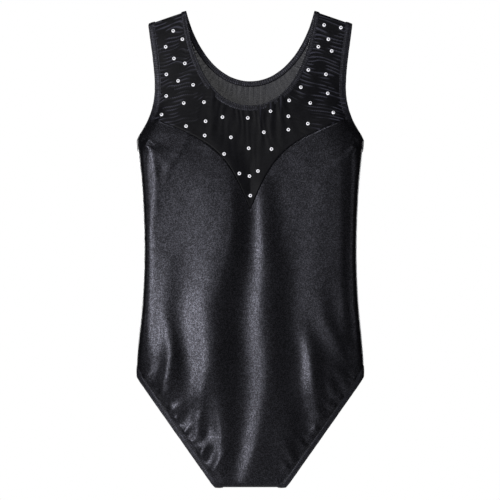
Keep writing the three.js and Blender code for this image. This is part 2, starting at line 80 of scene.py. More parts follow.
def smooth_through(points: Sequence[tuple[float, float]]) -> Curve:
    """Makes a smooth line through points: cubic pieces that share their slopes, straight beyond the ends.

    Args:
        points: Three or more (position, value) pairs in rising order of position.

    Returns:
        A function from an array of positions to an array of values.
    """
    at, value = (np.array(column, float) for column in zip(*points))
    slope = np.empty_like(at)
    slope[1:-1] = (value[2:] - value[:-2]) / (at[2:] - at[:-2])
    slope[0] = (value[1] - value[0]) / (at[1] - at[0])
    slope[-1] = (value[-1] - value[-2]) / (at[-1] - at[-2])

    def curve(position: Array) -> Array:
        """Returns the line's value at each position."""
        i = np.clip(np.searchsorted(at, position) - 1, 0, len(at) - 2)
        length = at[i + 1] - at[i]
        t = np.clip((position - at[i]) / length, 0, 1)
        rise = value[i + 1] - value[i]
        start, end = slope[i] * length, slope[i + 1] * length
        beyond = position - np.clip(position, at[0], at[-1])
        inside = value[i] + start * t + (3 * rise - 2 * start - end) * t**2 + (start + end - 2 * rise) * t**3
        return inside + beyond * np.where(beyond > 0, slope[-1], slope[0])

    return curve


def smoothstep(t: Array) -> Array:
    """Returns 0 up to t = 0, 1 from t = 1, and 3t^2 - 2t^3 between."""
    t = np.clip(t, 0, 1)
    return t * t * (3 - 2 * t)


def cubic(points: Sequence[tuple[float, float]], t: Array) -> Array:
    """Returns points of a cubic curve: the four given points weighted by the Bernstein polynomials of t."""
    a, b, c, d = (np.array(p, float) for p in points)
    t = np.asarray(t, float)[..., None]
    return (1 - t) ** 3 * a + 3 * (1 - t) ** 2 * t * b + 3 * (1 - t) * t**2 * c + t**3 * d


def unit(vectors: Array) -> Array:
    """Returns vectors divided by their lengths."""
    return vectors / np.maximum(np.linalg.norm(vectors, axis=-1, keepdims=True), 1e-12)


def bell(offset: Array, width: Union[Array, float]) -> Array:
    """Returns exp(-(offset / width)^2): 1 in the middle of a bell and near 0 from twice its width."""
    return np.exp(-((offset / width) ** 2))


def run_length(points: Array) -> Array:
    """Returns the distance along a row of points, from 0: the running sum of the steps' lengths."""
    return np.concatenate([[0], np.cumsum(np.linalg.norm(np.diff(points, axis=0), axis=-1))])


def gentle_noise(x: Array, z: Array, wavelength: float, seed: int) -> Array:
    """Returns a smooth uneven field of about -1 to 1: a sum of eight plane waves in seeded directions."""
    rng = np.random.default_rng(seed)
    total = np.zeros_like(x)
    for _ in range(8):
        angle, phase = rng.uniform(0, TURN, 2)
        pace = TURN / (wavelength * rng.uniform(0.6, 1.6))
        total += np.sin(pace * (x * math.cos(angle) + z * math.sin(angle)) + phase)
    return total / 4


# ------------------------------------------------------------------------------------------ the garment's form


@dataclass(frozen=True)
class Form:
    """The outline and the depth of the garment, from which every panel and binding takes its place."""

    leg_slope: float = 93.5 / 132.6
    hip: tuple[float, float] = (HALF_CHEST, 0.1242)
    underarm: tuple[float, float] = (HALF_CHEST, 0.4086)
    shoulder_outer: tuple[float, float] = (0.1224, 0.5478)
    shoulder_inner: tuple[float, float] = (0.0768, SHOULDER_HEIGHT)
    side_widths: tuple = ((0.1242, 0.1362), (0.150, 0.1356), (0.216, 0.1298), (0.277, 0.1278), (0.350, 0.1304),
                          (0.4086, 0.1362))
    armhole_widths: tuple = ((0.4086, 0.1362), (0.4326, 0.1224), (0.458, 0.1152), (0.490, 0.1152),
                             (0.5478, 0.1224))
    centre_depths: tuple = ((-0.0084, 0.008), (0.060, 0.013), (0.130, 0.019), (0.190, 0.022), (0.277, 0.020),
                            (0.350, 0.023), (0.410, 0.022), (0.450, 0.019), (0.500, 0.013), (0.564, 0.009))
    section_powers: tuple = ((0.0, 2.5), (0.095, 2.5), (0.150, 12.0), (0.200, 30.0), (0.370, 30.0), (0.415, 12.0),
                             (0.450, 3.0), (0.564, 2.5))
    fold_radius: float = 0.008
    edge_half_gap: float = 0.008
    closing_length: float = 0.010
    back_rest_depth: float = 0.020
    slope_step: float = 0.004

    def leg_width(self, z: Array) -> Array:
        """Returns the half width of the leg line, a straight line down from the hip."""
        return self.hip[0] + self.leg_slope * (z - self.hip[1])

    def side_width(self, z: Array) -> Array:
        """Returns the half width of the body at the side seams."""
        return smooth_through(self.side_widths)(z)

    def armhole_width(self, z: Array) -> Array:
        """Returns the half width of the bodice at the armholes."""
        return smooth_through(self.armhole_widths)(z)

    def half_width(self, z: Array) -> Array:
        """Returns the half width of the whole outline."""
        upper = np.where(z <= self.underarm[1], self.side_width(z), self.armhole_width(z))
        return np.where(z < self.hip[1], self.leg_width(z), upper)

    def shoulder_run(self) -> Array:
        """Returns the unit direction of the shoulder line, outwards from the neck."""
        return unit(np.array(self.shoulder_outer) - np.array(self.shoulder_inner))

    def below_shoulder(self, x: Array, z: Array) -> Array:
        """Returns the distance below the shoulder line, from the line's equation."""
        run = self.shoulder_run()
        return (x - self.shoulder_inner[0]) * run[1] - (z - self.shoulder_inner[1]) * run[0]

    def fold_heights(self, steps: int = ROLL_STEPS) -> Array:
        """Returns heights round half a fold, from its top edge: radius * (1 - cos angle) over a quarter turn."""
        return self.fold_radius * (1 - np.cos(np.linspace(0, math.pi / 2, steps)))

    def half_depth_squared(self, x: Array, z: Array) -> Array:
        """Returns the square of the half depth: a superellipse across the width, rolled off at the folds.

        Each roll is a quarter circle, whose squared height is 2t - t^2 up to t = 1.
        """

        def roll(distance: Array, length: float) -> Array:
            """Returns the squared height of a quarter circle of that length."""
            t = np.minimum(distance / length, 1)
            return 2 * t - t * t

        below = roll(self.hip[1] - z, self.closing_length)
        above = roll(z - self.underarm[1], self.closing_length)
        gap = np.where(z < self.hip[1], below, np.where(z > self.underarm[1], above, 0)) * self.edge_half_gap**2
        across = np.minimum(np.abs(x) / self.half_width(z), 1.2)
        power = smooth_through(self.section_powers)(z)
        section = gap + (smooth_through(self.centre_depths)(z) ** 2 - gap) * (1 - across**power)
        crotch = roll(z - CROTCH_HEIGHT, self.fold_radius)
        return section * crotch * roll(self.below_shoulder(np.abs(x), z), self.fold_radius)

    def place(self, side: Side, x: Array, z: Array, lift: Union[Array, float] = 0.0) -> Array:
        """Returns points over (x, z) on one side, raised off the form by lift along its normal."""
        point, normal = self.surface(side, x, z)
        return point + normal * np.broadcast_to(lift, x.shape)[..., None]

    def surface(self, side: Side, x: Array, z: Array) -> tuple[Array, Array]:
        """Works out points of the form and its outward normals, from the slope of the squared depth.

        Args:
            side: Front or back.
            x: Places across.
            z: Heights.

        Returns:
            Points and unit normals, with one more axis than x.
        """
        squared = np.maximum(self.half_depth_squared(x, z), 0)
        step = self.slope_step
        along_x = (self.half_depth_squared(x + step, z) - self.half_depth_squared(x - step, z)) / (2 * step)
        along_z = (self.half_depth_squared(x, z + step) - self.half_depth_squared(x, z - step)) / (2 * step)
        depth = np.sqrt(squared)
        normal = np.stack([-along_x, side.value * 2 * depth, -along_z], -1)
        if side is Side.BACK:
            flat = np.tanh(np.maximum(depth / self.back_rest_depth - 0.8, 0) / 0.2)[..., None] ** 4
            normal = normal * (1 - flat) + np.array([0, 1.0, 0]) * np.linalg.norm(normal, axis=-1)[..., None] * flat
            depth = np.minimum(depth, self.back_rest_depth)
        point = np.stack([x, side.value * depth, z - SHOULDER_HEIGHT], -1)
        return point, unit(normal)


FORM = Form()


@dataclass(frozen=True)
class Neckline:
    """The edges and seams that meet the yoke, as cubic curves from the centre line outwards."""

    edges: Mapping[Side, tuple] = field(default_factory=lambda: {
        Side.FRONT: ((0, 0.4482), (0.0598, 0.4482), (0.0742, 0.5359), (0.0768, 0.5634)),
        Side.BACK: ((0, 0.481), (0.0396, 0.481), (0.0663, 0.5214), (0.0768, 0.5634)),
    })
    seams: Mapping[Side, tuple] = field(default_factory=lambda: {
        Side.FRONT: ((0, 0.324), (0.0296, 0.4009), (0.0468, 0.4027), (SEAM_REACH, 0.436)),
        Side.BACK: ((0, 0.404), (0.040, 0.404), (0.085, 0.420), (SEAM_REACH, 0.436)),
    })
    seam_line: Mapping[Side, float] = field(default_factory=lambda: {Side.FRONT: 0.56, Side.BACK: 0.5})

    def seam_height(self, side: Side, x: Array) -> Array:
        """Returns the height of the seam under the yoke over x, read off a finely divided curve."""
        points = cubic(self.seams[side], np.linspace(0, 1, 400))
        return np.interp(np.abs(x), points[:, 0], points[:, 1])


NECKLINE = Neckline()

# ------------------------------------------------------------------------------------------ folds in the fabric


@dataclass(frozen=True)
class Roll:
    """A soft fold that runs down a panel: a bell-shaped ridge with its own width on each flank."""

    path: tuple[tuple[float, float, float, float, float], ...]
    end_fade: float = 0.014

    def lift(self, x: Array, z: Array) -> Array:
        """Returns height * exp(-offset^2 / (2 width^2)), from rows of (z, x, left width, right width, height).

        Between rows every value follows a smooth line, and past both ends the ridge fades as a bell.
        """
        rows = sorted(self.path)
        centre, left, right, height = (smooth_through([(r[0], r[k]) for r in rows]) for k in (1, 2, 3, 4))
        inside = np.clip(z, rows[0][0], rows[-1][0])
        fade = bell(z - inside, self.end_fade)
        offset = x - centre(inside)
        offset = offset / np.where(offset < 0, left(inside), right(inside))
        return height(inside) * fade * np.exp(-0.5 * offset**2)


@dataclass(frozen=True)
class Pleat:
    """A short fold that starts at a gathered edge and dies away inside the panel."""

    start: tuple[float, float]
    heading: tuple[float, float]
    length: float
    width: float
    height: float

    def lift(self, x: Array, z: Array) -> Array:
        """Returns a ridge along the heading: it rises over 4 mm, then fades as a bell and grows wider."""
        ahead = (x - self.start[0]) * self.heading[0] + (z - self.start[1]) * self.heading[1]
        aside = (x - self.start[0]) * self.heading[1] - (z - self.start[1]) * self.heading[0]
        rise = smoothstep(ahead / 0.004) * bell(np.maximum(ahead, 0), self.length)
        width = self.width * (1 + 0.8 * np.maximum(ahead, 0) / self.length)
        return self.height * rise * np.exp(-0.5 * (aside / width) ** 2)


Fold = Union[Roll, Pleat]

FRONT_ROLLS: tuple[Fold, ...] = (
    Roll(((0.395, -0.034, 0.040, 0.024, 0.0010), (0.349, -0.026, 0.044, 0.014, 0.0036),
          (0.300, -0.024, 0.041, 0.013, 0.0052), (0.253, -0.034, 0.030, 0.017, 0.0056),
          (0.205, -0.047, 0.020, 0.021, 0.0068), (0.157, -0.044, 0.016, 0.020, 0.0074),
          (0.109, -0.040, 0.013, 0.016, 0.0056), (0.060, -0.033, 0.008, 0.012, 0.0042),
          (0.020, -0.036, 0.007, 0.010, 0.0030), (0.000, -0.036, 0.008, 0.009, 0.0016))),
    Roll(((0.150, -0.056, 0.009, 0.009, 0.0003), (0.109, -0.058, 0.008, 0.007, 0.0026),
          (0.060, -0.061, 0.005, 0.006, 0.0024), (0.048, -0.061, 0.005, 0.006, 0.0016))),
    Roll(((0.349, 0.014, 0.006, 0.010, 0.0016), (0.300, 0.016, 0.007, 0.012, 0.0030),
          (0.253, 0.018, 0.010, 0.016, 0.0044), (0.205, 0.016, 0.013, 0.019, 0.0052),
          (0.157, 0.020, 0.015, 0.018, 0.0058), (0.109, 0.020, 0.015, 0.019, 0.0050),
          (0.060, 0.013, 0.013, 0.029, 0.0044), (0.020, 0.002, 0.011, 0.030, 0.0036),
          (0.000, -0.004, 0.010, 0.030, 0.0022))),
    Roll(((0.084, 0.045, 0.012, 0.009, 0.0006), (0.060, 0.048, 0.012, 0.008, 0.0016),
          (0.030, 0.046, 0.012, 0.008, 0.0008))),
    Roll(((0.190, 0.064, 0.007, 0.008, 0.0006), (0.157, 0.070, 0.006, 0.008, 0.0026),
          (0.109, 0.076, 0.007, 0.007, 0.0036), (0.060, 0.083, 0.007, 0.006, 0.0028))),
    Roll(((0.260, 0.078, 0.014, 0.014, 0.0005), (0.205, 0.084, 0.012, 0.008, 0.0015),
          (0.157, 0.107, 0.009, 0.006, 0.0020), (0.140, 0.114, 0.008, 0.006, 0.0014))),
    Roll(((0.128, 0.094, 0.004, 0.004, 0.0004), (0.109, 0.096, 0.0035, 0.004, 0.0013),
          (0.090, 0.097, 0.004, 0.004, 0.0009))),
    Roll(((0.235, 0.112, 0.007, 0.005, 0.0003), (0.205, 0.114, 0.007, 0.005, 0.0009),
          (0.180, 0.116, 0.006, 0.005, 0.0006))),
    Roll(((0.260, -0.096, 0.009, 0.009, 0.0005), (0.205, -0.099, 0.007, 0.008, 0.0014),
          (0.157, -0.094, 0.007, 0.007, 0.0034), (0.109, -0.103, 0.005, 0.011, 0.0036))),
    Roll(((0.402, -0.120, 0.003, 0.003, 0.0004), (0.372, -0.1126, 0.003, 0.003, 0.0008),
          (0.336, -0.1126, 0.004, 0.004, 0.0007), (0.290, -0.121, 0.005, 0.004, 0.0002))),
    Roll(((0.415, -0.072, 0.004, 0.003, 0.0002), (0.397, -0.0807, 0.004, 0.003, 0.0006),
          (0.373, -0.0963, 0.004, 0.003, 0.0006), (0.350, -0.104, 0.004, 0.004, 0.0002))),
    Roll(((0.408, 0.119, 0.003, 0.003, 0.0003), (0.380, 0.1184, 0.003, 0.003, 0.0006),
          (0.330, 0.1190, 0.004, 0.004, 0.0004), (0.290, 0.122, 0.005, 0.004, 0.0002))),
    Roll(((0.420, -0.040, 0.036, 0.040, 0.0008), (0.300, -0.040, 0.034, 0.040, 0.0018),
          (0.200, -0.044, 0.030, 0.040, 0.0014), (0.110, -0.050, 0.030, 0.040, 0.0006))),
    Roll(((0.440, 0.104, 0.040, 0.012, 0.0020), (0.340, 0.106, 0.042, 0.010, 0.0038),
          (0.240, 0.106, 0.042, 0.010, 0.0038), (0.160, 0.108, 0.036, 0.012, 0.0016))),
    Roll(((0.440, -0.106, 0.014, 0.026, 0.0010), (0.340, -0.112, 0.014, 0.026, 0.0020),
          (0.240, -0.112, 0.014, 0.026, 0.0022), (0.160, -0.110, 0.012, 0.026, 0.0010))),
    Roll(((0.180, 0.070, 0.030, 0.022, 0.0004), (0.130, 0.084, 0.030, 0.018, 0.0030),
          (0.080, 0.080, 0.026, 0.018, 0.0014))),
    Roll(((0.180, -0.080, 0.018, 0.030, 0.0004), (0.130, -0.094, 0.016, 0.026, 0.0034),
          (0.080, -0.080, 0.016, 0.022, 0.0014))),
)

BACK_ROLLS: tuple[Fold, ...] = (
    Roll(((0.390, 0.018, 0.018, 0.018, 0.0004), (0.320, 0.022, 0.020, 0.020, 0.0024),
          (0.250, 0.028, 0.020, 0.020, 0.0036), (0.180, 0.036, 0.020, 0.018, 0.0034),
          (0.100, 0.038, 0.018, 0.016, 0.0020), (0.030, 0.022, 0.014, 0.014, 0.0006))),
    Roll(((0.380, -0.030, 0.020, 0.020, 0.0004), (0.300, -0.034, 0.022, 0.018, 0.0026),
          (0.230, -0.040, 0.020, 0.018, 0.0038), (0.160, -0.044, 0.019, 0.017, 0.0030),
          (0.080, -0.036, 0.016, 0.016, 0.0016), (0.020, -0.020, 0.012, 0.012, 0.0005))),
    Roll(((0.260, 0.000, 0.010, 0.010, 0.0003), (0.190, -0.003, 0.010, 0.010, 0.0016),
          (0.120, -0.004, 0.010, 0.010, 0.0018), (0.050, -0.003, 0.008, 0.008, 0.0008))),
    Roll(((0.260, 0.088, 0.011, 0.011, 0.0003), (0.200, 0.090, 0.010, 0.010, 0.0012),
          (0.150, 0.100, 0.009, 0.008, 0.0013), (0.115, 0.108, 0.007, 0.007, 0.0008))),
    Roll(((0.250, -0.090, 0.011, 0.011, 0.0003), (0.190, -0.094, 0.009, 0.009, 0.0012),
          (0.140, -0.104, 0.008, 0.008, 0.0011))),
    Roll(((0.400, 0.116, 0.004, 0.004, 0.0004), (0.360, 0.112, 0.004, 0.004, 0.0007),
          (0.310, 0.116, 0.005, 0.005, 0.0003))),
    Roll(((0.400, -0.116, 0.004, 0.004, 0.0004), (0.350, -0.113, 0.004, 0.004, 0.0006),
          (0.300, -0.118, 0.005, 0.005, 0.0003))),
)


def leg_pleats(hand: float, seed: int) -> list[Fold]:
    """Makes the gathers along one leg edge, fanning upwards from the elastic.

    Args:
        hand: 1 for the right leg edge as seen from the front, -1 for the left.
        seed: Seed of the uneven spacing.

    Returns:
        The pleats, a few long ones and many short ones.
    """
    rng = np.random.default_rng(seed)
    start = np.array(FORM.hip)
    end = np.array([FORM.leg_width(CROTCH_HEIGHT), CROTCH_HEIGHT])
    run = unit(end - start)
    inward = np.array([run[1], -run[0]])
    length = float(np.linalg.norm(end - start))
    pleats: list[Fold] = []
    for pitch, reach, width, height in ((0.0150, 0.026, 0.0026, 0.00210), (0.0066, 0.011, 0.0015, 0.00110)):
        places = np.arange(0.008, length - 0.006, pitch)
        for place in places + rng.uniform(-0.3, 0.3, len(places)) * pitch:
            turn = rng.uniform(-0.15, 0.55)
            heading = unit(inward * math.cos(turn) - run * math.sin(turn))
            origin = start + run * place + inward * 0.0065
            grow = rng.uniform(0.65, 1.3)
            pleats.append(Pleat((hand * origin[0], origin[1]), (hand * heading[0], heading[1]), reach * grow,
                                width * rng.uniform(0.8, 1.25), height * rng.uniform(0.5, 1.2)))
    return pleats


def armhole_pleats(hand: float, seed: int) -> list[Fold]:
    """Makes the small drags that spread down and in from under one armhole."""
    rng = np.random.default_rng(seed)
    pleats: list[Fold] = []
    for angle in np.radians((200, 222, 243, 262)):
        heading = (hand * math.cos(angle), math.sin(angle))
        origin = (hand * (FORM.underarm[0] - 0.011), FORM.underarm[1] - 0.004 + rng.uniform(-0.006, 0.004))
        pleats.append(Pleat(origin, heading, rng.uniform(0.024, 0.044), 0.0026, rng.uniform(0.0008, 0.0014)))
    return pleats


def edge_pleats(seed: int) -> list[Fold]:
    """Makes all the pleats of one side, at both legs and both armholes, from the four seeds after that one."""
    return (leg_pleats(1, seed + 1) + leg_pleats(-1, seed + 2) + armhole_pleats(1, seed + 3)
            + armhole_pleats(-1, seed + 4))


def edge_fade(x: Array, z: Array, held: float = 0.005, bound: float = 0.011, side: float = 0.008) -> Array:
    """Works out how freely the cloth can fold.

    Args:
        x: Places across.
        z: Heights.
        held: Width along a bound edge in which the cloth can't fold.
        bound: Width beyond it over which folds rise.
        side: Width over which folds rise from a side seam.

    Returns:
        0 at the bound edges and the sides, rising to 1 inside the panels, where folds have full height.
    """
    across_leg = 1 / math.hypot(1.0, FORM.leg_slope)
    from_leg = (FORM.leg_width(z) - np.abs(x)) * across_leg
    from_arm = FORM.armhole_width(z) - np.abs(x)
    from_side = FORM.side_width(z) - np.abs(x)
    return (smoothstep((from_leg - held) / bound) * smoothstep((from_arm - held) / bound)
            * smoothstep(from_side / side))


def yoke_drape(x: Array, z: Array, side: Side = Side.FRONT, reach: float = 0.060) -> Array:
    """Returns how far the body's folds still raise the yoke, dying out at that distance above the seam."""
    rolls = FRONT_ROLLS if side is Side.FRONT else BACK_ROLLS
    above = np.maximum(z - NECKLINE.seam_height(side, np.clip(np.abs(x), 0, SEAM_REACH)), 0)
    return sum(fold.lift(x, z) for fold in rolls) * smoothstep(1 - above / reach) * edge_fade(x, z)


# ------------------------------------------------------------------------------------------ meshes


def make_object(name: str, points: Array, faces: Sequence[Array], smooth: bool = True) -> bpy.types.Object:
    """Puts vertices and faces into a new object at the origin.

    Args:
        name: Name of the piece.
        points: Vertices, n by 3.
        faces: Arrays of faces, each m by 3 or m by 4.
        smooth: Whether the shading is smooth.

    Returns:
        The linked object.
    """
    mesh = bpy.data.meshes.new(name)
    polygons = [face for block in faces for face in block.tolist()]
    mesh.from_pydata(points.tolist(), [], polygons)
    mesh.polygons.foreach_set("use_smooth", np.full(len(mesh.polygons), smooth))
    mesh.update()
    piece = bpy.data.objects.new(name, mesh)
    bpy.context.scene.collection.objects.link(piece)
    return piece


def grid_faces(rows: int, columns: int, wrap_rows: bool = False, wrap_columns: bool = False) -> Array:
    """Returns the four-sided faces of a grid of vertices in row order, closed on itself where asked."""
    r = np.arange(rows if wrap_rows else rows - 1)
    c = np.arange(columns if wrap_columns else columns - 1)
    a, b = np.meshgrid(r, c, indexing="ij")
    a, b = a.ravel(), b.ravel()
    down, right = (a + 1) % rows, (b + 1) % columns
    return np.stack([a * columns + b, a * columns + right, down * columns + right, down * columns + b], -1)


def sheet_object(name: str, points: Array, outward: Array, thickness: float) -> bpy.types.Object:
    """Makes a cloth panel from a grid of points, with its fabric's thickness on the inside.

    Args:
        name: Name of the panel.
        points: Grid of points, rows by columns by 3.
        outward: Rough outward direction at the middle of the grid.
        thickness: Thickness of the fabric.

    Returns:
        The panel, with its faces outwards and a Solidify modifier.
    """
    rows, columns = points.shape[:2]
    faces = grid_faces(rows, columns)
    middle = (rows // 2) * columns + columns // 2
    flat = points.reshape(-1, 3)
    a, b, c = flat[middle], flat[middle + 1], flat[middle + columns]
    if np.dot(np.cross(b - a, c - a), outward) < 0:
        faces = faces[:, ::-1]
    piece = make_object(name, flat, [faces])
    solid = piece.modifiers.new("thickness", "SOLIDIFY")
    solid.thickness = thickness
    solid.offset = -1
    return piece


def dress(piece: bpy.types.Object, node: Union[str, None], slot: str, *finishes: bpy.types.Material) -> None:
    """Gives a piece its finishes, puts it on the one body and hides the node of the frame that it replaces.

    Args:
        piece: The piece, which rides on the one body.
        node: Node of the frame that it replaces, if any.
        slot: Not used.
        finishes: Materials in the order of the faces' numbers.
    """
    for finish in finishes:
        piece.data.materials.append(finish)
    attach(piece, BODY)
    if node:
        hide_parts(node)


def set_attribute(piece: bpy.types.Object, name: str, values: Array) -> None:
    """Stores one number for each vertex of a piece under a name that its material reads."""
    layer = piece.data.attributes.new(name, "FLOAT", "POINT")
    layer.data.foreach_set("value", np.ascontiguousarray(values, dtype=np.float32).ravel())


def rounded_section(points: int, power: float = 0.6) -> tuple[Array, Array]:
    """Returns a flat section with rounded ends: shares 0.5 - 0.5 sign(cos a) |cos a|^power, and the angles a."""
    angle = np.linspace(0, TURN, points, endpoint=False)
    return 0.5 - 0.5 * np.sign(np.cos(angle)) * np.abs(np.cos(angle)) ** power, angle


# ------------------------------------------------------------------------------------------ shader language


Operand = Union["Value", float]


class Value:
    """A number that varies over a surface: one node socket, with arithmetic that adds Math nodes."""

    def __init__(self, graph: "Graph", socket: bpy.types.NodeSocket) -> None:
        """Wraps a socket of a graph."""
        self.graph, self.socket = graph, socket

    def _math(self, operation: str, first: Operand, second: Operand = 0.0) -> "Value":
        """Returns a Math node's result for two operands."""
        return self.graph.add("ShaderNodeMath", {"operation": operation}, {0: first, 1: second})

    def __add__(self, other: Operand) -> "Value":
        """Returns self + other."""
        return self._math("ADD", self, other)

    def __radd__(self, other: float) -> "Value":
        """Returns other + self."""
        return self._math("ADD", other, self)

    def __sub__(self, other: Operand) -> "Value":
        """Returns self - other."""
        return self._math("SUBTRACT", self, other)

    def __rsub__(self, other: float) -> "Value":
        """Returns other - self."""
        return self._math("SUBTRACT", other, self)

    def __mul__(self, other: Operand) -> "Value":
        """Returns self * other."""
        return self._math("MULTIPLY", self, other)

    def __rmul__(self, other: float) -> "Value":
        """Returns other * self."""
        return self._math("MULTIPLY", other, self)

    def sine(self) -> "Value":
        """Returns the sine of self, in radians."""
        return self._math("SINE", self)

    def clamped(self) -> "Value":
        """Returns self held between 0 and 1."""
        return self.graph.add("ShaderNodeClamp", {}, {0: self})


class Graph:
    """The node graph of one material, with a Principled shader at its end."""

    def __init__(self, name: str) -> None:
        """Makes an empty material of that name."""
        self.material = bpy.data.materials.new(name)
        self.material.use_nodes = True
        self.tree = self.material.node_tree
        self.tree.nodes.clear()
        self.output = self.tree.nodes.new("ShaderNodeOutputMaterial")
        self.shader = self.tree.nodes.new("ShaderNodeBsdfPrincipled")
        self.tree.links.new(self.shader.outputs[0], self.output.inputs["Surface"])

    def add(self, kind: str, settings: Mapping, inputs: Mapping, out: Union[int, str] = 0) -> Value:
        """Adds one node.

        Args:
            kind: The node's type.
            settings: Its own settings.
            inputs: Numbers, colours or links for its sockets, by name or number.
            out: Which output to return.

        Returns:
            The output, as a Value.
        """
        node = self.tree.nodes.new(kind)
        for key, setting in settings.items():
            setattr(node, key, setting)
        for key, value in inputs.items():
            self.feed(node.inputs[key], value)
        return Value(self, node.outputs[out])

    def feed(self, socket: bpy.types.NodeSocket, value: object) -> None:
        """Sets a socket to a constant or links it."""
        if isinstance(value, Value):
            self.tree.links.new(value.socket, socket)
        else:
            socket.default_value = value

    def set(self, **inputs: object) -> None:
        """Sets the shader's sockets, whose names are given with _ for each space."""
        for key, value in inputs.items():
            self.feed(self.shader.inputs[key.replace("_", " ")], value)

    def place(self) -> Value:
        """Returns the object coordinates of the surface, in metres."""
        return self.add("ShaderNodeTexCoord", {}, {}, "Object")

    def attribute(self, name: str) -> Value:
        """Returns a number stored on the piece."""
        return self.add("ShaderNodeAttribute", {"attribute_name": name}, {}, "Fac")

    def noise(self, size: float, detail: float = 2.0, stretch: Sequence[float] = (1, 1, 1)) -> Value:
        """Returns noise of 0 to 1 whose blotches are about size metres, stretched along the axes."""
        scale = tuple(1 / (size * s) for s in stretch)
        where = self.add("ShaderNodeMapping", {}, {"Vector": self.place(), "Scale": scale}, "Vector")
        return self.add("ShaderNodeTexNoise", {}, {"Vector": where, "Scale": 1.0, "Detail": detail}, "Fac")

    def cells(self, size: float, out: str = "Distance") -> Value:
        """Returns a pattern of irregular cells of about size metres."""
        where = self.add("ShaderNodeMapping", {}, {"Vector": self.place(), "Scale": (1 / size,) * 3}, "Vector")
        return self.add("ShaderNodeTexVoronoi", {}, {"Vector": where, "Scale": 1.0}, out)

    def blend(self, mask: Operand, first: object, second: object) -> Value:
        """Returns the colour first where mask is 0 and second where it is 1."""
        return self.add("ShaderNodeMix", {"data_type": "RGBA"}, {0: mask, 6: first, 7: second}, 2)

    def between(self, value: Operand, low: float, high: float) -> Value:
        """Returns 0 where value is low or less, 1 where it is high or more, and a smooth step between."""
        return self.add("ShaderNodeMapRange", {"interpolation_type": "SMOOTHSTEP"},
                        {"Value": value, "From Min": low, "From Max": high})

    def bump(self, height: Value, distance: float, strength: float = 1.0) -> None:
        """Gives the shader small relief of that height in metres."""
        normal = self.add("ShaderNodeBump", {}, {"Height": height, "Distance": distance, "Strength": strength},
                          "Normal")
        self.set(Normal=normal)


def grey(level: float, blue: float = 0.0) -> tuple[float, float, float, float]:
    """Returns an opaque colour of that level, a little bluer by blue."""
    return (level, level, level * (1 + blue), 1.0)


# ------------------------------------------------------------------------------------------ finishes


@dataclass(frozen=True)
class FoilKnit:
    """Black stretch knit with a misted silver foil: a dark ground with fine bright flecks and a satin sheen."""

    name: str = "foil_knit"
    ground: float = 0.004
    foil: float = 0.17
    roughness: float = 0.27
    metallic: float = 0.92
    grain: float = 0.0008

    def build(self) -> bpy.types.Material:
        """Builds the material: cells give the foil its flecks, noise its misting, and both its relief."""
        g = Graph(self.name)
        fleck = g.between(g.cells(self.grain, "Color"), 0.35, 0.95)
        mist = g.noise(0.010, 2)
        fine = g.noise(self.grain * 0.6, 2)
        cover = (fleck * 0.55 + fine * 0.7 + mist * 0.05 - 0.25).clamped()
        g.set(Base_Color=g.blend(cover, grey(self.ground, 0.2), grey(self.foil, 0.22)),
              Metallic=cover * 0.2 + (self.metallic - 0.15), Roughness=0.12 * (1 - cover) + self.roughness)
        g.bump(fleck * 0.5 + fine, 0.00005, 0.5)
        return g.material


@dataclass(frozen=True)
class PowerMesh:
    """Matt black power mesh: a fine net with a soft edge sheen, see-through where it is a single layer. The crests
    of its gathers are painted in a tone of their own, which on the ruched yoke is a painted highlight.
    """

    name: str
    colour: float = 0.002
    lift: float = 0.011
    painted_crest_tone: float = 0.11
    alpha: float = 1.0
    roughness: float = 0.42

    def build(self) -> bpy.types.Material:
        """Builds the material: cells give the net its holes, and the gathers thicken it. The crests of the gathers
        are painted in a tone of their own, a painted highlight where that tone is lighter.
        """
        g = Graph(self.name)
        net = g.between(g.cells(0.0009), 0.25, 0.6)
        mottle = g.noise(0.004, 3)
        # The crests of the tightest gathers are coloured apart: on the ruched yoke this is a painted highlight.
        painted_crest_tone = g.between(g.attribute("gather"), 0.55, 1.0)
        ground = g.blend((net * 0.6 + mottle * 0.5 - 0.1).clamped(), grey(self.colour, 0.4), grey(self.lift, 0.4))
        g.set(Base_Color=g.blend(painted_crest_tone * (0.4 + 0.6 * mottle), ground, grey(self.painted_crest_tone, 0.4)),
              Roughness=self.roughness + 0.15 * mottle, Sheen_Weight=0.02, Sheen_Roughness=0.35,
              Specular_IOR_Level=0.22)
        if self.alpha < 1:
            g.set(Alpha=(self.alpha + g.attribute("gather") * 0.22 - net * 0.12).clamped())
        g.bump(net + mottle * 0.5, 0.00006, 0.4)
        return g.material


@dataclass(frozen=True)
class PlainKnit:
    """A plain knit in one colour, with fine ribs across it and a little mottling."""

    name: str
    colour: tuple[float, float, float, float]
    rib: float = 0.0007
    roughness: float = 0.75

    def build(self) -> bpy.types.Material:
        """Builds the material: two crossed noises make the loops of the knit."""
        g = Graph(self.name)
        loops = g.noise(self.rib, 1, (1, 1, 2.2))
        mottle = g.noise(0.005, 2)
        dark = tuple(c * 0.55 for c in self.colour[:3]) + (1.0,)
        g.set(Base_Color=g.blend((loops * 0.7 + mottle * 0.3).clamped(), dark, self.colour),
              Roughness=self.roughness + 0.1 * mottle - 0.05, Sheen_Weight=0.15)
        g.bump(loops, 0.00018, 0.6)
        return g.material


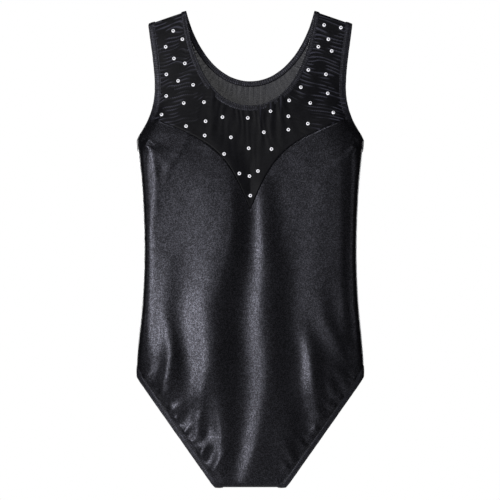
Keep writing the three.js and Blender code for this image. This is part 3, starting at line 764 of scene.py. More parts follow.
@dataclass(frozen=True)
class FoilBinding:
    """The foil knit cut into a binding: the same ground, with ribs that the stretched elastic draws up."""

    name: str = "foil_binding"

    def build(self) -> bpy.types.Material:
        """Builds the material: ribs run across the binding, over the foil's own flecks."""
        g = Graph(self.name)
        rib = g.between((g.attribute("along") * (TURN / 0.0022)).sine(), -1.0, 1.0)
        fleck = g.between(g.cells(0.0010, "Color"), 0.3, 0.95)
        cover = (fleck * 0.5 + rib * 0.25 + g.noise(0.0012, 2) * 0.4 - 0.2).clamped()
        g.set(Base_Color=g.blend(cover, grey(0.006, 0.3), grey(0.115, 0.35)), Metallic=cover * 0.5 + 0.3,
              Roughness=0.46 - 0.12 * cover)
        g.bump(rib * 0.8 + fleck * 0.4, 0.00012, 0.6)
        return g.material


@dataclass(frozen=True)
class Thread:
    """Spun sewing thread with its twist."""

    name: str = "thread"
    colour: float = 0.02

    def build(self) -> bpy.types.Material:
        """Builds the material: fine noise stands for the plies."""
        g = Graph(self.name)
        ply = g.noise(0.0003, 1)
        g.set(Base_Color=g.blend(ply, grey(self.colour * 0.4), grey(self.colour * 1.8)),
              Roughness=0.55 + 0.2 * ply, Sheen_Weight=0.3)
        return g.material


@dataclass(frozen=True)
class Crystal:
    """Cut glass with a silvered back: crown facets painted bright and glowing, a painted glint, round a table that
    mirrors the dark side of the room, its tint darkened with painted shade.
    """

    name: str
    low: float
    high: float
    metallic: float
    roughness: float
    painted_glow: float

    def build(self) -> bpy.types.Material:
        """Builds the material: noise leaves faint unevenness in the silvering, and a glow of the stone's own tint is
        painted light that stands for its glitter.
        """
        g = Graph(self.name)
        silver = g.noise(0.0006, 1)
        tint = g.blend(silver, grey(self.low, 0.08), grey(self.high, 0.03))
        # The tint and the glow paint the stone's brightness: on the crown a painted glint, on the table a darker
        # tint that adds painted shade to its real mirror.
        g.set(Base_Color=tint, Metallic=0.1 * silver + (self.metallic - 0.1),
              Roughness=self.roughness + 0.06 * silver, Coat_Weight=1.0, Coat_Roughness=0.03,
              Emission_Color=tint, Emission_Strength=self.painted_glow)
        return g.material


# ------------------------------------------------------------------------------------------ bound edges


@dataclass(frozen=True)
class Lines:
    """Lines across a binding, from its folded edge to its open side, in order along an edge of the garment."""

    outer: tuple[Array, Array]
    inner: tuple[Array, Array]
    width: float

    @classmethod
    def across_edge(cls, side: Side, edge: Array, across: Array, square: Array, width: float) -> "Lines":
        """Lays the lines on the form.

        Args:
            side: Front or back.
            edge: Places (x, z) along the edge, n by 2.
            across: Unit directions of the lines in the plane of x and z, n by 2.
            square: Unit directions square to the edge, n by 2.
            width: Width of the binding, measured square to its edge.

        Returns:
            The lines.
        """
        open_side = edge + across * (width / np.sum(across * square, -1))[:, None]
        return cls(FORM.surface(side, edge[:, 0], edge[:, 1]),
                   FORM.surface(side, open_side[:, 0], open_side[:, 1]), width)

    def closed_with(self, back: "Lines") -> "Lines":
        """Returns a closed loop: these lines, then the back's lines in reverse without its two folds."""
        join = [tuple(np.concatenate([here, there[-2:0:-1]]) for here, there in zip(mine, theirs))
                for mine, theirs in ((self.outer, back.outer), (self.inner, back.inner))]
        return Lines(join[0], join[1], self.width)

    def with_mirror_image(self) -> "Lines":
        """Returns these lines, from a shoulder to the centre line, followed by their mirror image."""
        join = [tuple(np.concatenate([part, part[-2::-1] * MIRROR]) for part in pair)
                for pair in (self.outer, self.inner)]
        return Lines(join[0], join[1], self.width)

    def mirrored(self) -> "Lines":
        """Returns the same lines on the other side of the garment."""
        return Lines(tuple(part * MIRROR for part in self.outer), tuple(part * MIRROR for part in self.inner),
                     self.width)

    def at(self, distance: Array, depth: Array) -> Array:
        """Returns points a distance in from the folded edge and a depth under the fabric's face.

        The point is the mean of the two ends of its line, each lowered along its own normal by the depth and
        weighted by its nearness.

        Args:
            distance: Distances, n by m.
            depth: Depths, n by m, negative outside the fabric.

        Returns:
            Points, n by m by 3.
        """
        start, end = (points[:, None] - normals[:, None] * depth[..., None]
                      for points, normals in (self.outer, self.inner))
        return start + (end - start) * (distance / self.width)[..., None]

    def along(self) -> Array:
        """Returns how far round the closed loop each line lies, and the whole length as one more value."""
        middle = (self.outer[0] + self.inner[0]) / 2
        steps = np.linalg.norm(np.roll(middle, -1, 0) - middle, axis=-1)
        return np.concatenate([[0.0], np.cumsum(steps)])


@dataclass(frozen=True)
class BoundEdges:
    """The edges of the garment that are bound: two legs, two armholes and the neck."""

    neck_width: float = 0.0068
    edge_width: float = 0.0084
    spacing: float = 0.00075
    hip_turn: float = 0.024
    crotch_turn: float = 0.020
    shoulder_turn: float = 0.032
    underarm_lean: float = -0.09
    seam_end: float = 0.4345
    inside_leg: float = 0.00245
    inside_arm: float = 0.0022

    def eased(self, length: float, start_turn: float, end_turn: float) -> Array:
        """Returns distances from 0 to length, spaced like the angle of a quarter circle at each end."""

        def turn(size: float) -> Array:
            """Returns size * (1 - cos angle) over a quarter turn."""
            count = max(int(size * math.pi / 2 / self.spacing), 6)
            return size * (1 - np.cos(np.linspace(0, math.pi / 2, count)))

        start, end = turn(start_turn), length - turn(end_turn)[::-1]
        straight = np.linspace(start[-1], end[0], max(int((end[0] - start[-1]) / self.spacing), 2))
        return np.concatenate([start, straight[1:-1], end])

    @staticmethod
    def turned(first: Array, second: Array, t: Array) -> Array:
        """Returns unit directions that turn smoothly from first (t = 0) to second (t = 1)."""
        t = smoothstep(t)[:, None]
        return unit(first * (1 - t) + second * t)

    def leg(self, side: Side) -> Lines:
        """Returns the lines from the crotch fold up to the hip."""
        z = CROTCH_HEIGHT + self.eased(FORM.hip[1] - CROTCH_HEIGHT, FORM.fold_radius, FORM.closing_length)
        edge = np.stack([FORM.leg_width(z), z], -1)
        square = unit(np.array([[-1.0, FORM.leg_slope]]))
        low = self.turned(np.array([[-1.0, 0.0]]), square, (z - CROTCH_HEIGHT) / self.crotch_turn)
        high = self.turned(square, np.array([[0.0, 1.0]]), 1 - (FORM.hip[1] - z) / self.hip_turn)
        across = np.where((z < FORM.hip[1] / 2)[:, None], low, high)
        return Lines.across_edge(side, edge, across, np.broadcast_to(square, edge.shape), self.edge_width)

    def armhole(self, side: Side) -> Lines:
        """Returns the lines from the underarm up to the shoulder."""
        table = np.linspace(FORM.shoulder_outer[1] - 0.020, FORM.shoulder_outer[1], 400)
        below = FORM.below_shoulder(FORM.armhole_width(table), table)
        z = FORM.underarm[1] + self.eased(FORM.shoulder_outer[1] - FORM.underarm[1] - FORM.fold_radius,
                                          FORM.closing_length, 0.0005)
        z = z[z < np.interp(-FORM.fold_radius, -below, table) - self.spacing / 2]
        z = np.concatenate([z, np.interp(-FORM.fold_heights()[::-1], -below, table)])
        edge = np.stack([FORM.armhole_width(z), z], -1)
        step = 0.0001
        slope = (FORM.armhole_width(z + step) - FORM.armhole_width(z - step)) / (2 * step)
        square = unit(np.stack([-np.ones_like(z), slope], -1))
        rise = (z - FORM.underarm[1]) / (self.seam_end - FORM.underarm[1])
        low = self.turned(unit(np.array([[self.underarm_lean, -1.0]])), square, rise)
        high = self.turned(-FORM.shoulder_run()[None], square,
                           FORM.below_shoulder(edge[:, 0], z) / self.shoulder_turn)
        across = np.where((rise < 1)[:, None], low, high)
        return Lines.across_edge(side, edge, across, square, self.edge_width)

    def neck(self, side: Side) -> Lines:
        """Returns the lines from the shoulder to the centre line."""
        edge, across, square = self.from_neck(side, self.neck_parameters(side, 0.0))
        return Lines.across_edge(side, edge, across, square, self.neck_width)

    def from_neck(self, side: Side, t: Array) -> tuple[Array, Array, Array]:
        """Returns places on the neck's edge, the directions of the cloth from them, and those square to the edge."""
        curve = NECKLINE.edges[side]
        edge = cubic(curve, t)
        tangent = unit(cubic(curve, t + CURVE_STEP) - cubic(curve, t - CURVE_STEP))
        square = np.stack([tangent[:, 1], -tangent[:, 0]], -1)
        across = self.turned(FORM.shoulder_run()[None], square,
                             FORM.below_shoulder(edge[:, 0], edge[:, 1]) / self.shoulder_turn)
        return edge, across, square

    def neck_parameters(self, side: Side, last: float, spacing: float = 0.0) -> Array:
        """Returns places on the neck's curve from the shoulder (1) down to last, about evenly spaced."""
        table = np.linspace(1, 0.4, 600)
        points = cubic(NECKLINE.edges[side], table)
        below = FORM.below_shoulder(points[:, 0], points[:, 1])
        rolled = np.interp(FORM.fold_heights(), below, table)
        rest = np.linspace(rolled[-1], last, 2000)
        points = cubic(NECKLINE.edges[side], rest)
        length = run_length(points)
        count = int(length[-1] / (spacing or self.spacing))
        return np.concatenate([rolled[:-1], np.interp(np.linspace(0, length[-1], count), length, rest)])

    def panel_width(self, z: Array) -> Array:
        """Returns the half width of the panels, whose edges end inside the bindings."""
        return np.minimum(np.minimum(FORM.leg_width(z) - self.inside_leg, FORM.side_width(z)),
                          FORM.armhole_width(z) - self.inside_arm)


EDGES = BoundEdges()


def loop_mesh(name: str, lines: Lines, distance: Array, depth: Array) -> bpy.types.Object:
    """Carries a section round a closed loop of lines and makes its faces point outwards.

    Args:
        name: Name of the piece.
        lines: The closed loop.
        distance: Distances of the section's points from the edge, n by m.
        depth: Their depths under the fabric's face, n by m.

    Returns:
        The piece, with the distance round the loop stored as "along".
    """
    points = lines.at(distance, depth)
    rows, columns = points.shape[:2]
    piece = make_object(name, points.reshape(-1, 3), [grid_faces(rows, columns, True, True)[:, ::-1]])
    set_attribute(piece, "along", np.repeat(lines.along()[:-1], columns))
    outward(piece)
    return piece


def outward(piece: bpy.types.Object) -> None:
    """Turns a closed mesh the right way out if the sum of its signed volumes is negative."""
    mesh = piece.data
    mesh.calc_loop_triangles()
    corners = np.empty(len(mesh.loop_triangles) * 3, dtype=np.int32)
    mesh.loop_triangles.foreach_get("vertices", corners)
    places = np.empty(len(mesh.vertices) * 3, dtype=np.float32)
    mesh.vertices.foreach_get("co", places)
    a, b, c = np.moveaxis(places.reshape(-1, 3)[corners.reshape(-1, 3)].astype(float), 1, 0)
    if np.sum(a * np.cross(b, c)) < 0:
        mesh.flip_normals()


@dataclass
class Binding:
    """A folded strip of foil knit over an elastic, sewn round one opening with two rows of stitches."""

    name: str
    lines: Lines
    node: str
    elastic_node: str
    seed: int
    finish: bpy.types.Material
    elastic_finish: bpy.types.Material
    thread: bpy.types.Material
    fullness: float = 0.00105
    cloth_middle: float = 0.0005
    rows: tuple[float, float] = (0.0021, 0.0068)
    groove: float = 0.00036
    groove_width: float = 0.00050
    pitch: float = 0.0028
    stitch_length: float = 0.0021
    thread_radius: float = 0.00023
    elastic_span: tuple[float, float] = (0.0013, 0.0046)
    elastic_half_thickness: float = 0.00025

    def build(self) -> list[bpy.types.Object]:
        """Builds the binding, its elastic and its stitching.

        Returns:
            The pieces that show on the garment.
        """
        band = self.build_band()
        elastic = self.build_elastic()
        stitching = self.build_stitching()
        dress(band, self.node, "binding", self.finish)
        dress(elastic, self.elastic_node, "elastic", self.elastic_finish)
        dress(stitching, None, "binding", self.thread)
        log.info("%s: %.0f mm round", self.name, self.lines.along()[-1] * 1000)
        return [band, stitching]

    def build_band(self) -> bpy.types.Object:
        """Makes the strip: a flat oval section whose faces sink at the stitch rows and pucker between stitches.

        Half thickness = fullness * (1 - |2d/w - 1|^5)^(1/2), less a bell at each row, plus ripples that repeat at
        the stitches' pitch and slower unevenness along the edge.
        """
        share, angle = rounded_section(32, 0.8)
        face = np.sign(np.sin(angle + 1e-9))
        half = self.fullness * np.sqrt(np.maximum(1 - np.abs(2 * share - 1) ** 5, 0))
        distance = share * self.lines.width
        along = self.lines.along()
        s, total = along[:-1, None], along[-1]
        dips = sum(bell(distance - row, self.groove_width) for row in self.rows)
        turns = np.round(total / self.pitch)
        pucker = np.cos(TURN * turns * s / total)
        rng = np.random.default_rng(self.seed)
        slow = sum(np.sin(TURN * (k * s / total) + rng.uniform(0, 6.3)) * rng.uniform(0.4, 1.0)
                   for k in (5, 9, 14, 23, 31, 47)) / 6
        between = bell(distance - self.lines.width / 2, 0.0022)
        swell = half[None] * (1 + 0.10 * slow) - dips[None] * self.groove * (1 - 0.35 * pucker)
        swell = swell + (half / self.fullness)[None] * 0.00007 * pucker * (0.4 + between[None])
        wave = 0.00022 * slow + 0.00005 * pucker
        reach = distance[None] + wave * (1 - 0.5 * share[None])
        return loop_mesh(self.name, self.lines, reach, self.cloth_middle - face[None] * np.maximum(swell, 0.0001))

    def build_elastic(self) -> bpy.types.Object:
        """Makes the elastic: a thin flat strip with rounded edges, inside the fold beyond the panel's edge."""
        share, angle = rounded_section(12)
        low, high = self.elastic_span
        high = min(high, self.lines.width - 0.0037)
        every = slice(None, None, 2)
        lines = Lines(tuple(p[every] for p in self.lines.outer), tuple(p[every] for p in self.lines.inner),
                      self.lines.width)
        count = len(lines.outer[0])
        distance = np.tile(low + share * (high - low), (count, 1))
        depth = np.tile(self.cloth_middle + self.elastic_half_thickness * np.sin(angle), (count, 1))
        return loop_mesh(f"{self.elastic_node}_strip", lines, distance, depth)

    def build_stitching(self) -> bpy.types.Object:
        """Makes both rows of stitches: short capsules that sink into the cloth at their ends.

        Along a stitch, u runs from 0 to 1. Its radius is r * (1 - (2u - 1)^6)^(1/2) and its rise over the groove
        is 0.8 r - 2.2 r * (2u - 1)^4.
        """
        along = self.lines.along()
        total = along[-1]
        count = int(round(total / self.pitch))
        u = np.array([0.02, 0.2, 0.5, 0.8, 0.98])
        around = np.linspace(0, TURN, 6, endpoint=False)
        start = np.arange(count)[:, None] * (total / count)
        places = np.mod(start + u[None] * self.stitch_length, total)
        blocks, faces = [], []
        for number, row in enumerate(self.rows):
            row = min(row, self.lines.width - 0.0014)
            share = row / self.lines.width
            height = self.fullness * math.sqrt(1 - abs(2 * share - 1) ** 5) - self.groove
            level = np.full((len(along) - 1, 1), self.cloth_middle - height)
            path = self.lines.at(np.full_like(level, row), level)[:, 0]
            normal = unit(self.lines.outer[1] * (1 - share) + self.lines.inner[1] * share)
            sample = self.around(along, path, places), unit(self.around(along, normal, places))
            tangent = unit(np.gradient(sample[0], axis=1))
            sideways = unit(np.cross(tangent, sample[1]))
            radius = self.thread_radius * np.sqrt(1 - np.abs(2 * u - 1) ** 6)
            rise = self.thread_radius * (0.8 - 2.2 * (2 * u - 1) ** 4)
            centre = sample[0] + sample[1] * rise[None, :, None]
            ring = (sideways[:, :, None] * np.cos(around)[:, None] + sample[1][:, :, None] * np.sin(around)[:, None])
            points = centre[:, :, None] + ring * radius[None, :, None, None]
            first = number * count * len(u) * len(around)
            base = first + np.arange(count)[:, None, None] * (len(u) * len(around))
            faces.append((base + grid_faces(len(u), len(around), False, True)[None]).reshape(-1, 4))
            blocks.append(points.reshape(-1, 3))
        caps = self.end_caps(2 * count, len(u), len(around))
        piece = make_object(f"{self.name}_stitching", np.concatenate(blocks), faces + caps)
        outward(piece)
        return piece

    @staticmethod
    def around(along: Array, values: Array, places: Array) -> Array:
        """Returns values at places round a closed loop, by straight interpolation between its lines."""
        closed = np.concatenate([values, values[:1]])
        return np.stack([np.interp(places, along, closed[:, k]) for k in range(3)], -1)

    @staticmethod
    def end_caps(stitches: int, rings: int, sides: int) -> list[Array]:
        """Returns the six-sided faces that close both ends of every stitch."""
        base = np.arange(stitches)[:, None] * rings * sides
        first = base + np.arange(sides)[None, :]
        last = base + (rings - 1) * sides + np.arange(sides)[None, ::-1]
        return [first, last]


# ------------------------------------------------------------------------------------------ panels


def cell_area(points: Array) -> float:
    """Returns the area of a grid of points: the sum over its cells of half the cross product of the diagonals."""
    crossed = np.cross(points[1:, 1:] - points[:-1, :-1], points[1:, :-1] - points[:-1, 1:])
    return float(0.5 * np.linalg.norm(crossed, axis=-1).sum())


@dataclass
class Panel:
    """A panel of cloth of the garment, made from a grid of places on the form with folds raised on it."""

    name: str
    side: Side
    node: str
    slot: str
    finish: bpy.types.Material
    thickness: float = 0.0007
    depth: float = 0.0
    seam_dip: float = 0.0008
    seam_dip_width: float = 0.0010
    fold_rows: int = 10

    def grid(self) -> tuple[Array, Array]:
        """Returns the places (x, z) of the grid, rows by columns."""
        raise NotImplementedError

    def lift(self, x: Array, z: Array) -> Array:
        """Returns how far each place stands off the form."""
        return np.zeros_like(x)

    def build(self, with_pieces: Sequence[bpy.types.Object] = ()) -> bpy.types.Object:
        """Args:
            with_pieces: Not used.

        Returns:
            The panel.
        """
        x, z = self.grid()
        points = FORM.place(self.side, x, z, self.lift(x, z) - self.depth)
        piece = sheet_object(self.name, points, np.array([0, self.side.value, 0]), self.thickness)
        self.mark(piece, x, z)
        dress(piece, self.node, self.slot, self.finish)
        size, area = self.cut_size(FORM.place(self.side, x, z))
        log.info("%s: cut %.0f by %.0f mm, %.4f square metres", self.name, size[0] * 1000, size[1] * 1000, area)
        return piece

    def cut_size(self, points: Array) -> tuple[tuple[float, float], float]:
        """Works out the panel's size when it is spread out flat.

        Args:
            points: Its places on the smooth form, without folds.

        Returns:
            The outline's width and height, both grown by the root of the form's area over the outline's, and
            the form's area.
        """
        area = cell_area(points)
        growth = math.sqrt(area / cell_area(points * np.array([1, 0, 1])))
        return (growth * float(np.ptp(points[..., 0])), growth * float(np.ptp(points[..., 2]))), area

    def mark(self, piece: bpy.types.Object, x: Array, z: Array) -> None:
        """Stores what the finish needs to know about each place. A plain panel stores nothing."""


@dataclass
class BodyPanel(Panel):
    """The foil panel of one side, from the crotch fold to the seam under the yoke."""

    folds: Sequence[Fold] = ()
    columns: int = 161
    lower_rows: int = 150
    upper_rows: int = 92
    level: float = 0.300
    unevenness: float = 0.00010
    pinch: float = 0.00016
    pinch_pitch: float = 0.0034
    seed: int = 3

    def grid(self) -> tuple[Array, Array]:
        """Returns the grid: level rows up to a height, then rows that bend towards the seam's curve.

        Columns are even up to 0.9 of the half width, then 1 - 0.1 (1 - v)^2, closer at the sides. Above the level
        row, z = level + (seam(c * corner) - level) * u and x = c * width(level + (end - level) * u).
        """
        even = np.linspace(-1, 1, self.columns)
        share = np.abs(even)
        near_side = 1 - 0.1 * (1 - np.clip((share - 0.75) / 0.25, 0, 1)) ** 2
        column = np.sign(even) * np.where(share < 0.75, 1.2 * share, near_side)
        fold = CROTCH_HEIGHT + FORM.fold_heights(self.fold_rows)
        low = np.concatenate([fold, np.linspace(fold[-1], self.level, self.lower_rows)[1:]])
        lower = np.broadcast_to(column, (len(low), self.columns)) * EDGES.panel_width(low)[:, None]
        rise = 1 - (1 - np.linspace(0, 1, self.upper_rows)[1:]) ** 1.4
        end = EDGES.seam_end
        corner = EDGES.panel_width(np.array(end))
        seam = NECKLINE.seam_height(self.side, column * corner)
        seam = seam + (end - seam[-1]) * np.abs(column) ** 20
        upper_x = column[None] * EDGES.panel_width(self.level + (end - self.level) * rise)[:, None]
        upper_z = self.level + (seam[None] - self.level) * rise[:, None]
        return (np.concatenate([lower, upper_x]),
                np.concatenate([np.broadcast_to(low[:, None], lower.shape), upper_z]))

    def lift(self, x: Array, z: Array) -> Array:
        """Returns the folds, faded out at the seams, with the dips of the side seams and of the yoke's seam."""
        to_side = np.maximum(FORM.half_width(z) - np.abs(x), 0)
        at_side = (z > FORM.hip[1]) & (z < FORM.underarm[1])
        to_seam = np.maximum(NECKLINE.seam_height(self.side, x) - z, 0)
        pleats = sum(fold.lift(x, z) for fold in self.folds if isinstance(fold, Pleat))
        folds = sum(fold.lift(x, z) for fold in self.folds if isinstance(fold, Roll))
        folds = folds + self.unevenness * gentle_noise(x, z, 0.030, self.seed)
        folds = folds + 0.3 * self.unevenness * gentle_noise(x, z, 0.012, self.seed + 1)
        fade = edge_fade(x, z) * smoothstep((z - CROTCH_HEIGHT) / FORM.fold_radius)
        dips = bell(to_seam, self.seam_dip_width) + np.where(at_side, 0.2 * bell(to_side, 0.0012), 0)
        dips = dips + 0.5 * bell(z - CROTCH_HEIGHT, 0.0016)
        pinch = self.pinch * np.cos(TURN * x / self.pinch_pitch) * bell(to_seam - 0.004, 0.003)
        return folds * fade + pleats - self.seam_dip * dips + pinch


@dataclass(frozen=True)
class YokeRows:
    """The rows of a yoke's grid: places on the neck's edge and the places across from them."""

    neck: Array
    outer: Array

    @classmethod
    def of_side(cls, side: Side, spacing: float, inside_binding: float = 0.0024) -> "YokeRows":
        """Lays rows from one shoulder, under the neck, to the other shoulder.

        Down a strap, a row joins the neck to the armhole. Under the neck, it joins the neck to the seam.

        Args:
            side: Front or back.
            spacing: Distance between rows along the neck.
            inside_binding: Distance from the neck's edge to the panel's own.

        Returns:
            The rows, n by 2 each.
        """
        split = NECKLINE.seam_line[side]
        strap = EDGES.neck_parameters(side, split, spacing)
        table = np.linspace(EDGES.seam_end, FORM.shoulder_outer[1], 2000)
        below = FORM.below_shoulder(FORM.armhole_width(table), table)
        rolled = np.interp(-FORM.fold_heights(), -below, table)
        straight = np.linspace(rolled[-1], EDGES.seam_end, len(strap) - ROLL_STEPS + 1)
        heights = np.concatenate([rolled[:-1], straight])
        column = np.linspace(1, 0, int(0.12 / spacing))[1:]
        corner = float(EDGES.panel_width(np.array(EDGES.seam_end)))
        seam = NECKLINE.seam_height(side, column * corner)
        outer = np.concatenate([np.stack([EDGES.panel_width(heights), heights], -1),
                                np.stack([column * corner, seam], -1)])
        t = np.concatenate([strap, split * column])
        neck, across, _ = EDGES.from_neck(side, t)
        neck = neck + across * inside_binding
        return cls(*(np.concatenate([part, part[-2::-1] * MIRROR[:2]]) for part in (neck, outer)))


@dataclass
class YokePanel(Panel):
    """A layer of the yoke: a horseshoe of mesh from one shoulder, under the neck, to the other."""

    spacing: float = 0.00080
    columns: int = 52
    ruching: float = 0.00052
    period: float = 0.0046
    lean: float = 0.24
    chest_gathers: tuple[tuple[float, float, float], ...] = ()
    seed: int = 11
    strap_only: float = 0.45

    def grid(self) -> tuple[Array, Array]:
        """Returns the grid: straight rows across the horseshoe."""
        rows = YokeRows.of_side(self.side, self.spacing)
        across = np.linspace(0, 1, self.columns)
        across = 0.6 * across + 0.4 * (0.5 - 0.5 * np.cos(across * math.pi))
        grid = rows.neck[:, None] + (rows.outer - rows.neck)[:, None] * across[None, :, None]
        return grid[..., 0], grid[..., 1]

    def measures(self, x: Array, z: Array) -> dict[str, Array]:
        """Returns each place's distances along the horseshoe, from the neck's edge, the outer edge and the seam."""
        middle = x.shape[1] // 2
        along = run_length(np.stack([x[:, middle], z[:, middle]], -1))
        share = np.linspace(0, 1, x.shape[1])[None]
        span = np.hypot(x[:, -1] - x[:, 0], z[:, -1] - z[:, 0])[:, None]
        on_strap = smoothstep((np.abs(x[:, :1]) / np.abs(x[0, 0]) - self.strap_only) / 0.4)
        to_seam = np.maximum(z - NECKLINE.seam_height(self.side, np.clip(np.abs(x), 0, SEAM_REACH)), 0)
        below = FORM.below_shoulder(np.abs(x), z)
        return {"along": np.broadcast_to(along[:, None], x.shape),
                "from_neck": share * span, "to_outer": (1 - share) * span, "on_strap": on_strap,
                "to_seam": to_seam, "below": below}

    def gathers(self, x: Array, z: Array) -> Array:
        """Returns the ruching as a height of about -1 to 1.

        Across the straps it is the sine of the height, warped by slow noise and leaning so that the pleats rise
        towards the neck. Under the neck it fades into longer, softer gathers.
        """
        m = self.measures(x, z)
        warp = 0.0026 * gentle_noise(m["along"], m["from_neck"] * 0.5, 0.026, self.seed)
        phase = (z + self.lean * np.abs(x) + warp) / self.period
        fine = np.sin(TURN * phase) + 0.45 * np.sin(TURN * phase * 1.45 + 2.0 * warp / 0.002)
        strength = 0.55 + 0.80 * gentle_noise(x, z, 0.018, self.seed + 1)
        strength = strength + 0.7 * np.exp(-m["to_outer"] / 0.005)
        strap = fine * np.clip(strength, 0.08, 1.5) * m["on_strap"]
        slow = np.sin(TURN * (m["along"] + 2 * warp) / (2.6 * self.period))
        chest = slow * 0.5 * np.exp(-m["from_neck"] / 0.030) * (1 - m["on_strap"])
        return strap + chest

    def lift(self, x: Array, z: Array) -> Array:
        """Returns the ruching and the gathers under the neck, faded at the seams, with the seam's dip."""
        m = self.measures(x, z)
        edge = smoothstep((m["from_neck"] - 0.001) / 0.006) * smoothstep((m["to_outer"] - 0.001) / 0.006)
        fade = smoothstep(m["below"] / 0.008) * smoothstep(m["to_seam"] / 0.010)
        folds = self.ruching * self.gathers(x, z) * (0.5 + 0.5 * edge)
        for centre, width, height in self.chest_gathers:
            reach = bell(np.maximum(m["from_neck"] - 0.006, 0), 0.034)
            folds = folds + height * np.exp(-0.5 * ((x - centre) / width) ** 2) * reach * (1 - m["on_strap"])
        folds = folds + 0.00018 * gentle_noise(x, z, 0.020, self.seed + 2)
        dips = bell(m["to_seam"], self.seam_dip_width) + 0.6 * bell(m["below"], 0.0012)
        return folds * fade + yoke_drape(x, z, self.side) - self.seam_dip * dips

    def mark(self, piece: bpy.types.Object, x: Array, z: Array) -> None:
        """Stores how tightly the mesh is gathered, from 0 to 1."""
        m = self.measures(x, z)
        tight = 0.5 + 0.5 * np.clip(self.gathers(x, z) * (m["on_strap"] + 0.4), -1, 1)
        reach = 0.8 * bell(m["from_neck"], 0.042) * (1 - m["on_strap"])
        for centre, width, _ in self.chest_gathers:
            tight = np.maximum(tight, reach * np.exp(-0.5 * ((x - centre) / (0.6 * width)) ** 2))
        # The mesh finish paints the crests of the tightest gathers in a tone of their own from this value: a painted
        # highlight on the ruched yoke.
        set_attribute(piece, "gather", tight)


@dataclass
class CrotchLining(Panel):
    """The lining inside the crotch, in one piece from the front round the fold to the back."""

    front_height: float = 0.095
    back_height: float = 0.058
    share: float = 0.95
    inset: float = 0.006
    front_rows: int = 40
    back_rows: int = 26
    columns: int = 41

    def build(self, with_pieces: Sequence[bpy.types.Object] = ()) -> bpy.types.Object:
        """Builds the lining: rows down the front, round the fold and up the back, under the body panels."""
        turn = CROTCH_HEIGHT + FORM.fold_heights(self.fold_rows)[::-1]
        front = np.concatenate([np.linspace(self.front_height, turn[0], self.front_rows)[:-1], turn])
        back = np.concatenate([turn[-2::-1], np.linspace(turn[0], self.back_height, self.back_rows)[1:]])
        column = np.linspace(-1, 1, self.columns)

        def rows(side: Side, z: Array) -> Array:
            """Returns one side's rows of points."""
            x = column[None] * ((FORM.leg_width(z) - self.inset) * self.share)[:, None]
            return FORM.place(side, x, np.broadcast_to(z[:, None], x.shape), -self.depth)

        points = np.concatenate([rows(Side.FRONT, front), rows(Side.BACK, back)])
        piece = sheet_object(self.name, points, np.array([0, -1.0, 0]), self.thickness)
        dress(piece, self.node, self.slot, self.finish)
        length = float(run_length(points[:, self.columns // 2])[-1])
        cell_area(points)
        return piece


@dataclass
class CareLabel(Panel):
    """A blank folded satin ribbon in the side seam, inside the back."""

    left: float = -0.120
    bottom: float = 0.190
    width: float = 0.026
    height: float = 0.022
    curl: float = 0.0006

    def grid(self) -> tuple[Array, Array]:
        """Returns an even grid over the ribbon."""
        u, v = np.meshgrid(np.linspace(0, 1, 24), np.linspace(0, 1, 20))
        return self.left + u * self.width, self.bottom + v * self.height

    def lift(self, x: Array, z: Array) -> Array:
        """Returns a small curl that grows towards the ribbon's free end as the square of the distance."""
        return -self.curl * ((x - self.left) / self.width) ** 2


# ------------------------------------------------------------------------------------------ stones


@dataclass
class Stones:
    """Flat-backed, silver-backed round stones set one by one on the front yoke."""

    glint_painted_crown_finish: bpy.types.Material
    shade_painted_table_finish: bpy.types.Material
    lift: float = 0.00035
    radius: float = 0.0020
    girdle: float = 0.00035
    height: float = 0.00140
    table: float = 0.00098
    facets: int = 8

    def build(self) -> list[bpy.types.Object]:
        """Builds one stone on each stone of the frame, lying on the cloth under it.

        Returns:
            The stones.
        """
        nodes = sorted(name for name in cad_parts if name.startswith("rhinestone_"))
        shape, faces = self.cut()
        stones = []
        for number, node in enumerate(nodes):
            low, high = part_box(node)
            x, z = (low.x + high.x) / 2, (low.z + high.z) / 2 + SHOULDER_HEIGHT
            across, height = np.array([x]), np.array([z])
            point, normal = (value[0] for value in FORM.surface(Side.FRONT, across, height))
            point = point + normal * yoke_drape(across, height)
            turn = np.random.default_rng(100 + number).uniform(0, math.pi)
            sideways = unit(np.cross(normal, np.array([0, 0, 1.0])))
            upright = np.cross(sideways, normal)
            first = sideways * math.cos(turn) + upright * math.sin(turn)
            second = np.cross(normal, first)
            places = (point + normal * self.lift + shape[:, :1] * first + shape[:, 1:2] * second
                      + shape[:, 2:] * normal)
            piece = make_object(f"stone_{node[-2:]}", places, faces, smooth=False)
            outward(piece)
            # The crown facets take the finish with a painted glint; the table face takes the mirror whose dark tint
            # is painted shade.
            dress(piece, node, "crystal", self.glint_painted_crown_finish, self.shade_painted_table_finish)
            piece.data.polygons[-1].material_index = 1
            stones.append(piece)
        log.info("stones: %d", len(stones))
        return stones

    def cut(self) -> tuple[Array, list[Array]]:
        """Works out one stone: rings of points for its girdle, crown and table.

        The crown's ring alternates between two radii, which makes kite-shaped facets round the eight-sided table.

        Returns:
            Points and faces.
        """
        count = 2 * self.facets
        angle = np.arange(count) * (TURN / count)
        even = np.arange(count) % 2 == 0
        corner = math.cos(math.pi / self.facets)
        crown = 0.5 * (self.radius + self.table)
        rings = [(np.full(count, self.radius * 0.97), 0.0), (np.full(count, self.radius), self.girdle * 0.3),
                 (np.full(count, self.radius), self.girdle),
                 (np.where(even, crown * 1.06, crown), self.girdle + 0.52 * (self.height - self.girdle)),
                 (np.where(even, self.table, self.table * corner), self.height)]
        points = [np.stack([r * np.cos(angle), r * np.sin(angle), np.full(count, h)], -1) for r, h in rings]
        walls = grid_faces(len(rings), count, False, True)
        ring = np.arange(count)
        last = (len(rings) - 1) * count
        base = ring[None, ::-1]
        table = (last + ring)[None]
        return np.concatenate(points), [walls, base, table]


# ------------------------------------------------------------------------------------------ seams inside


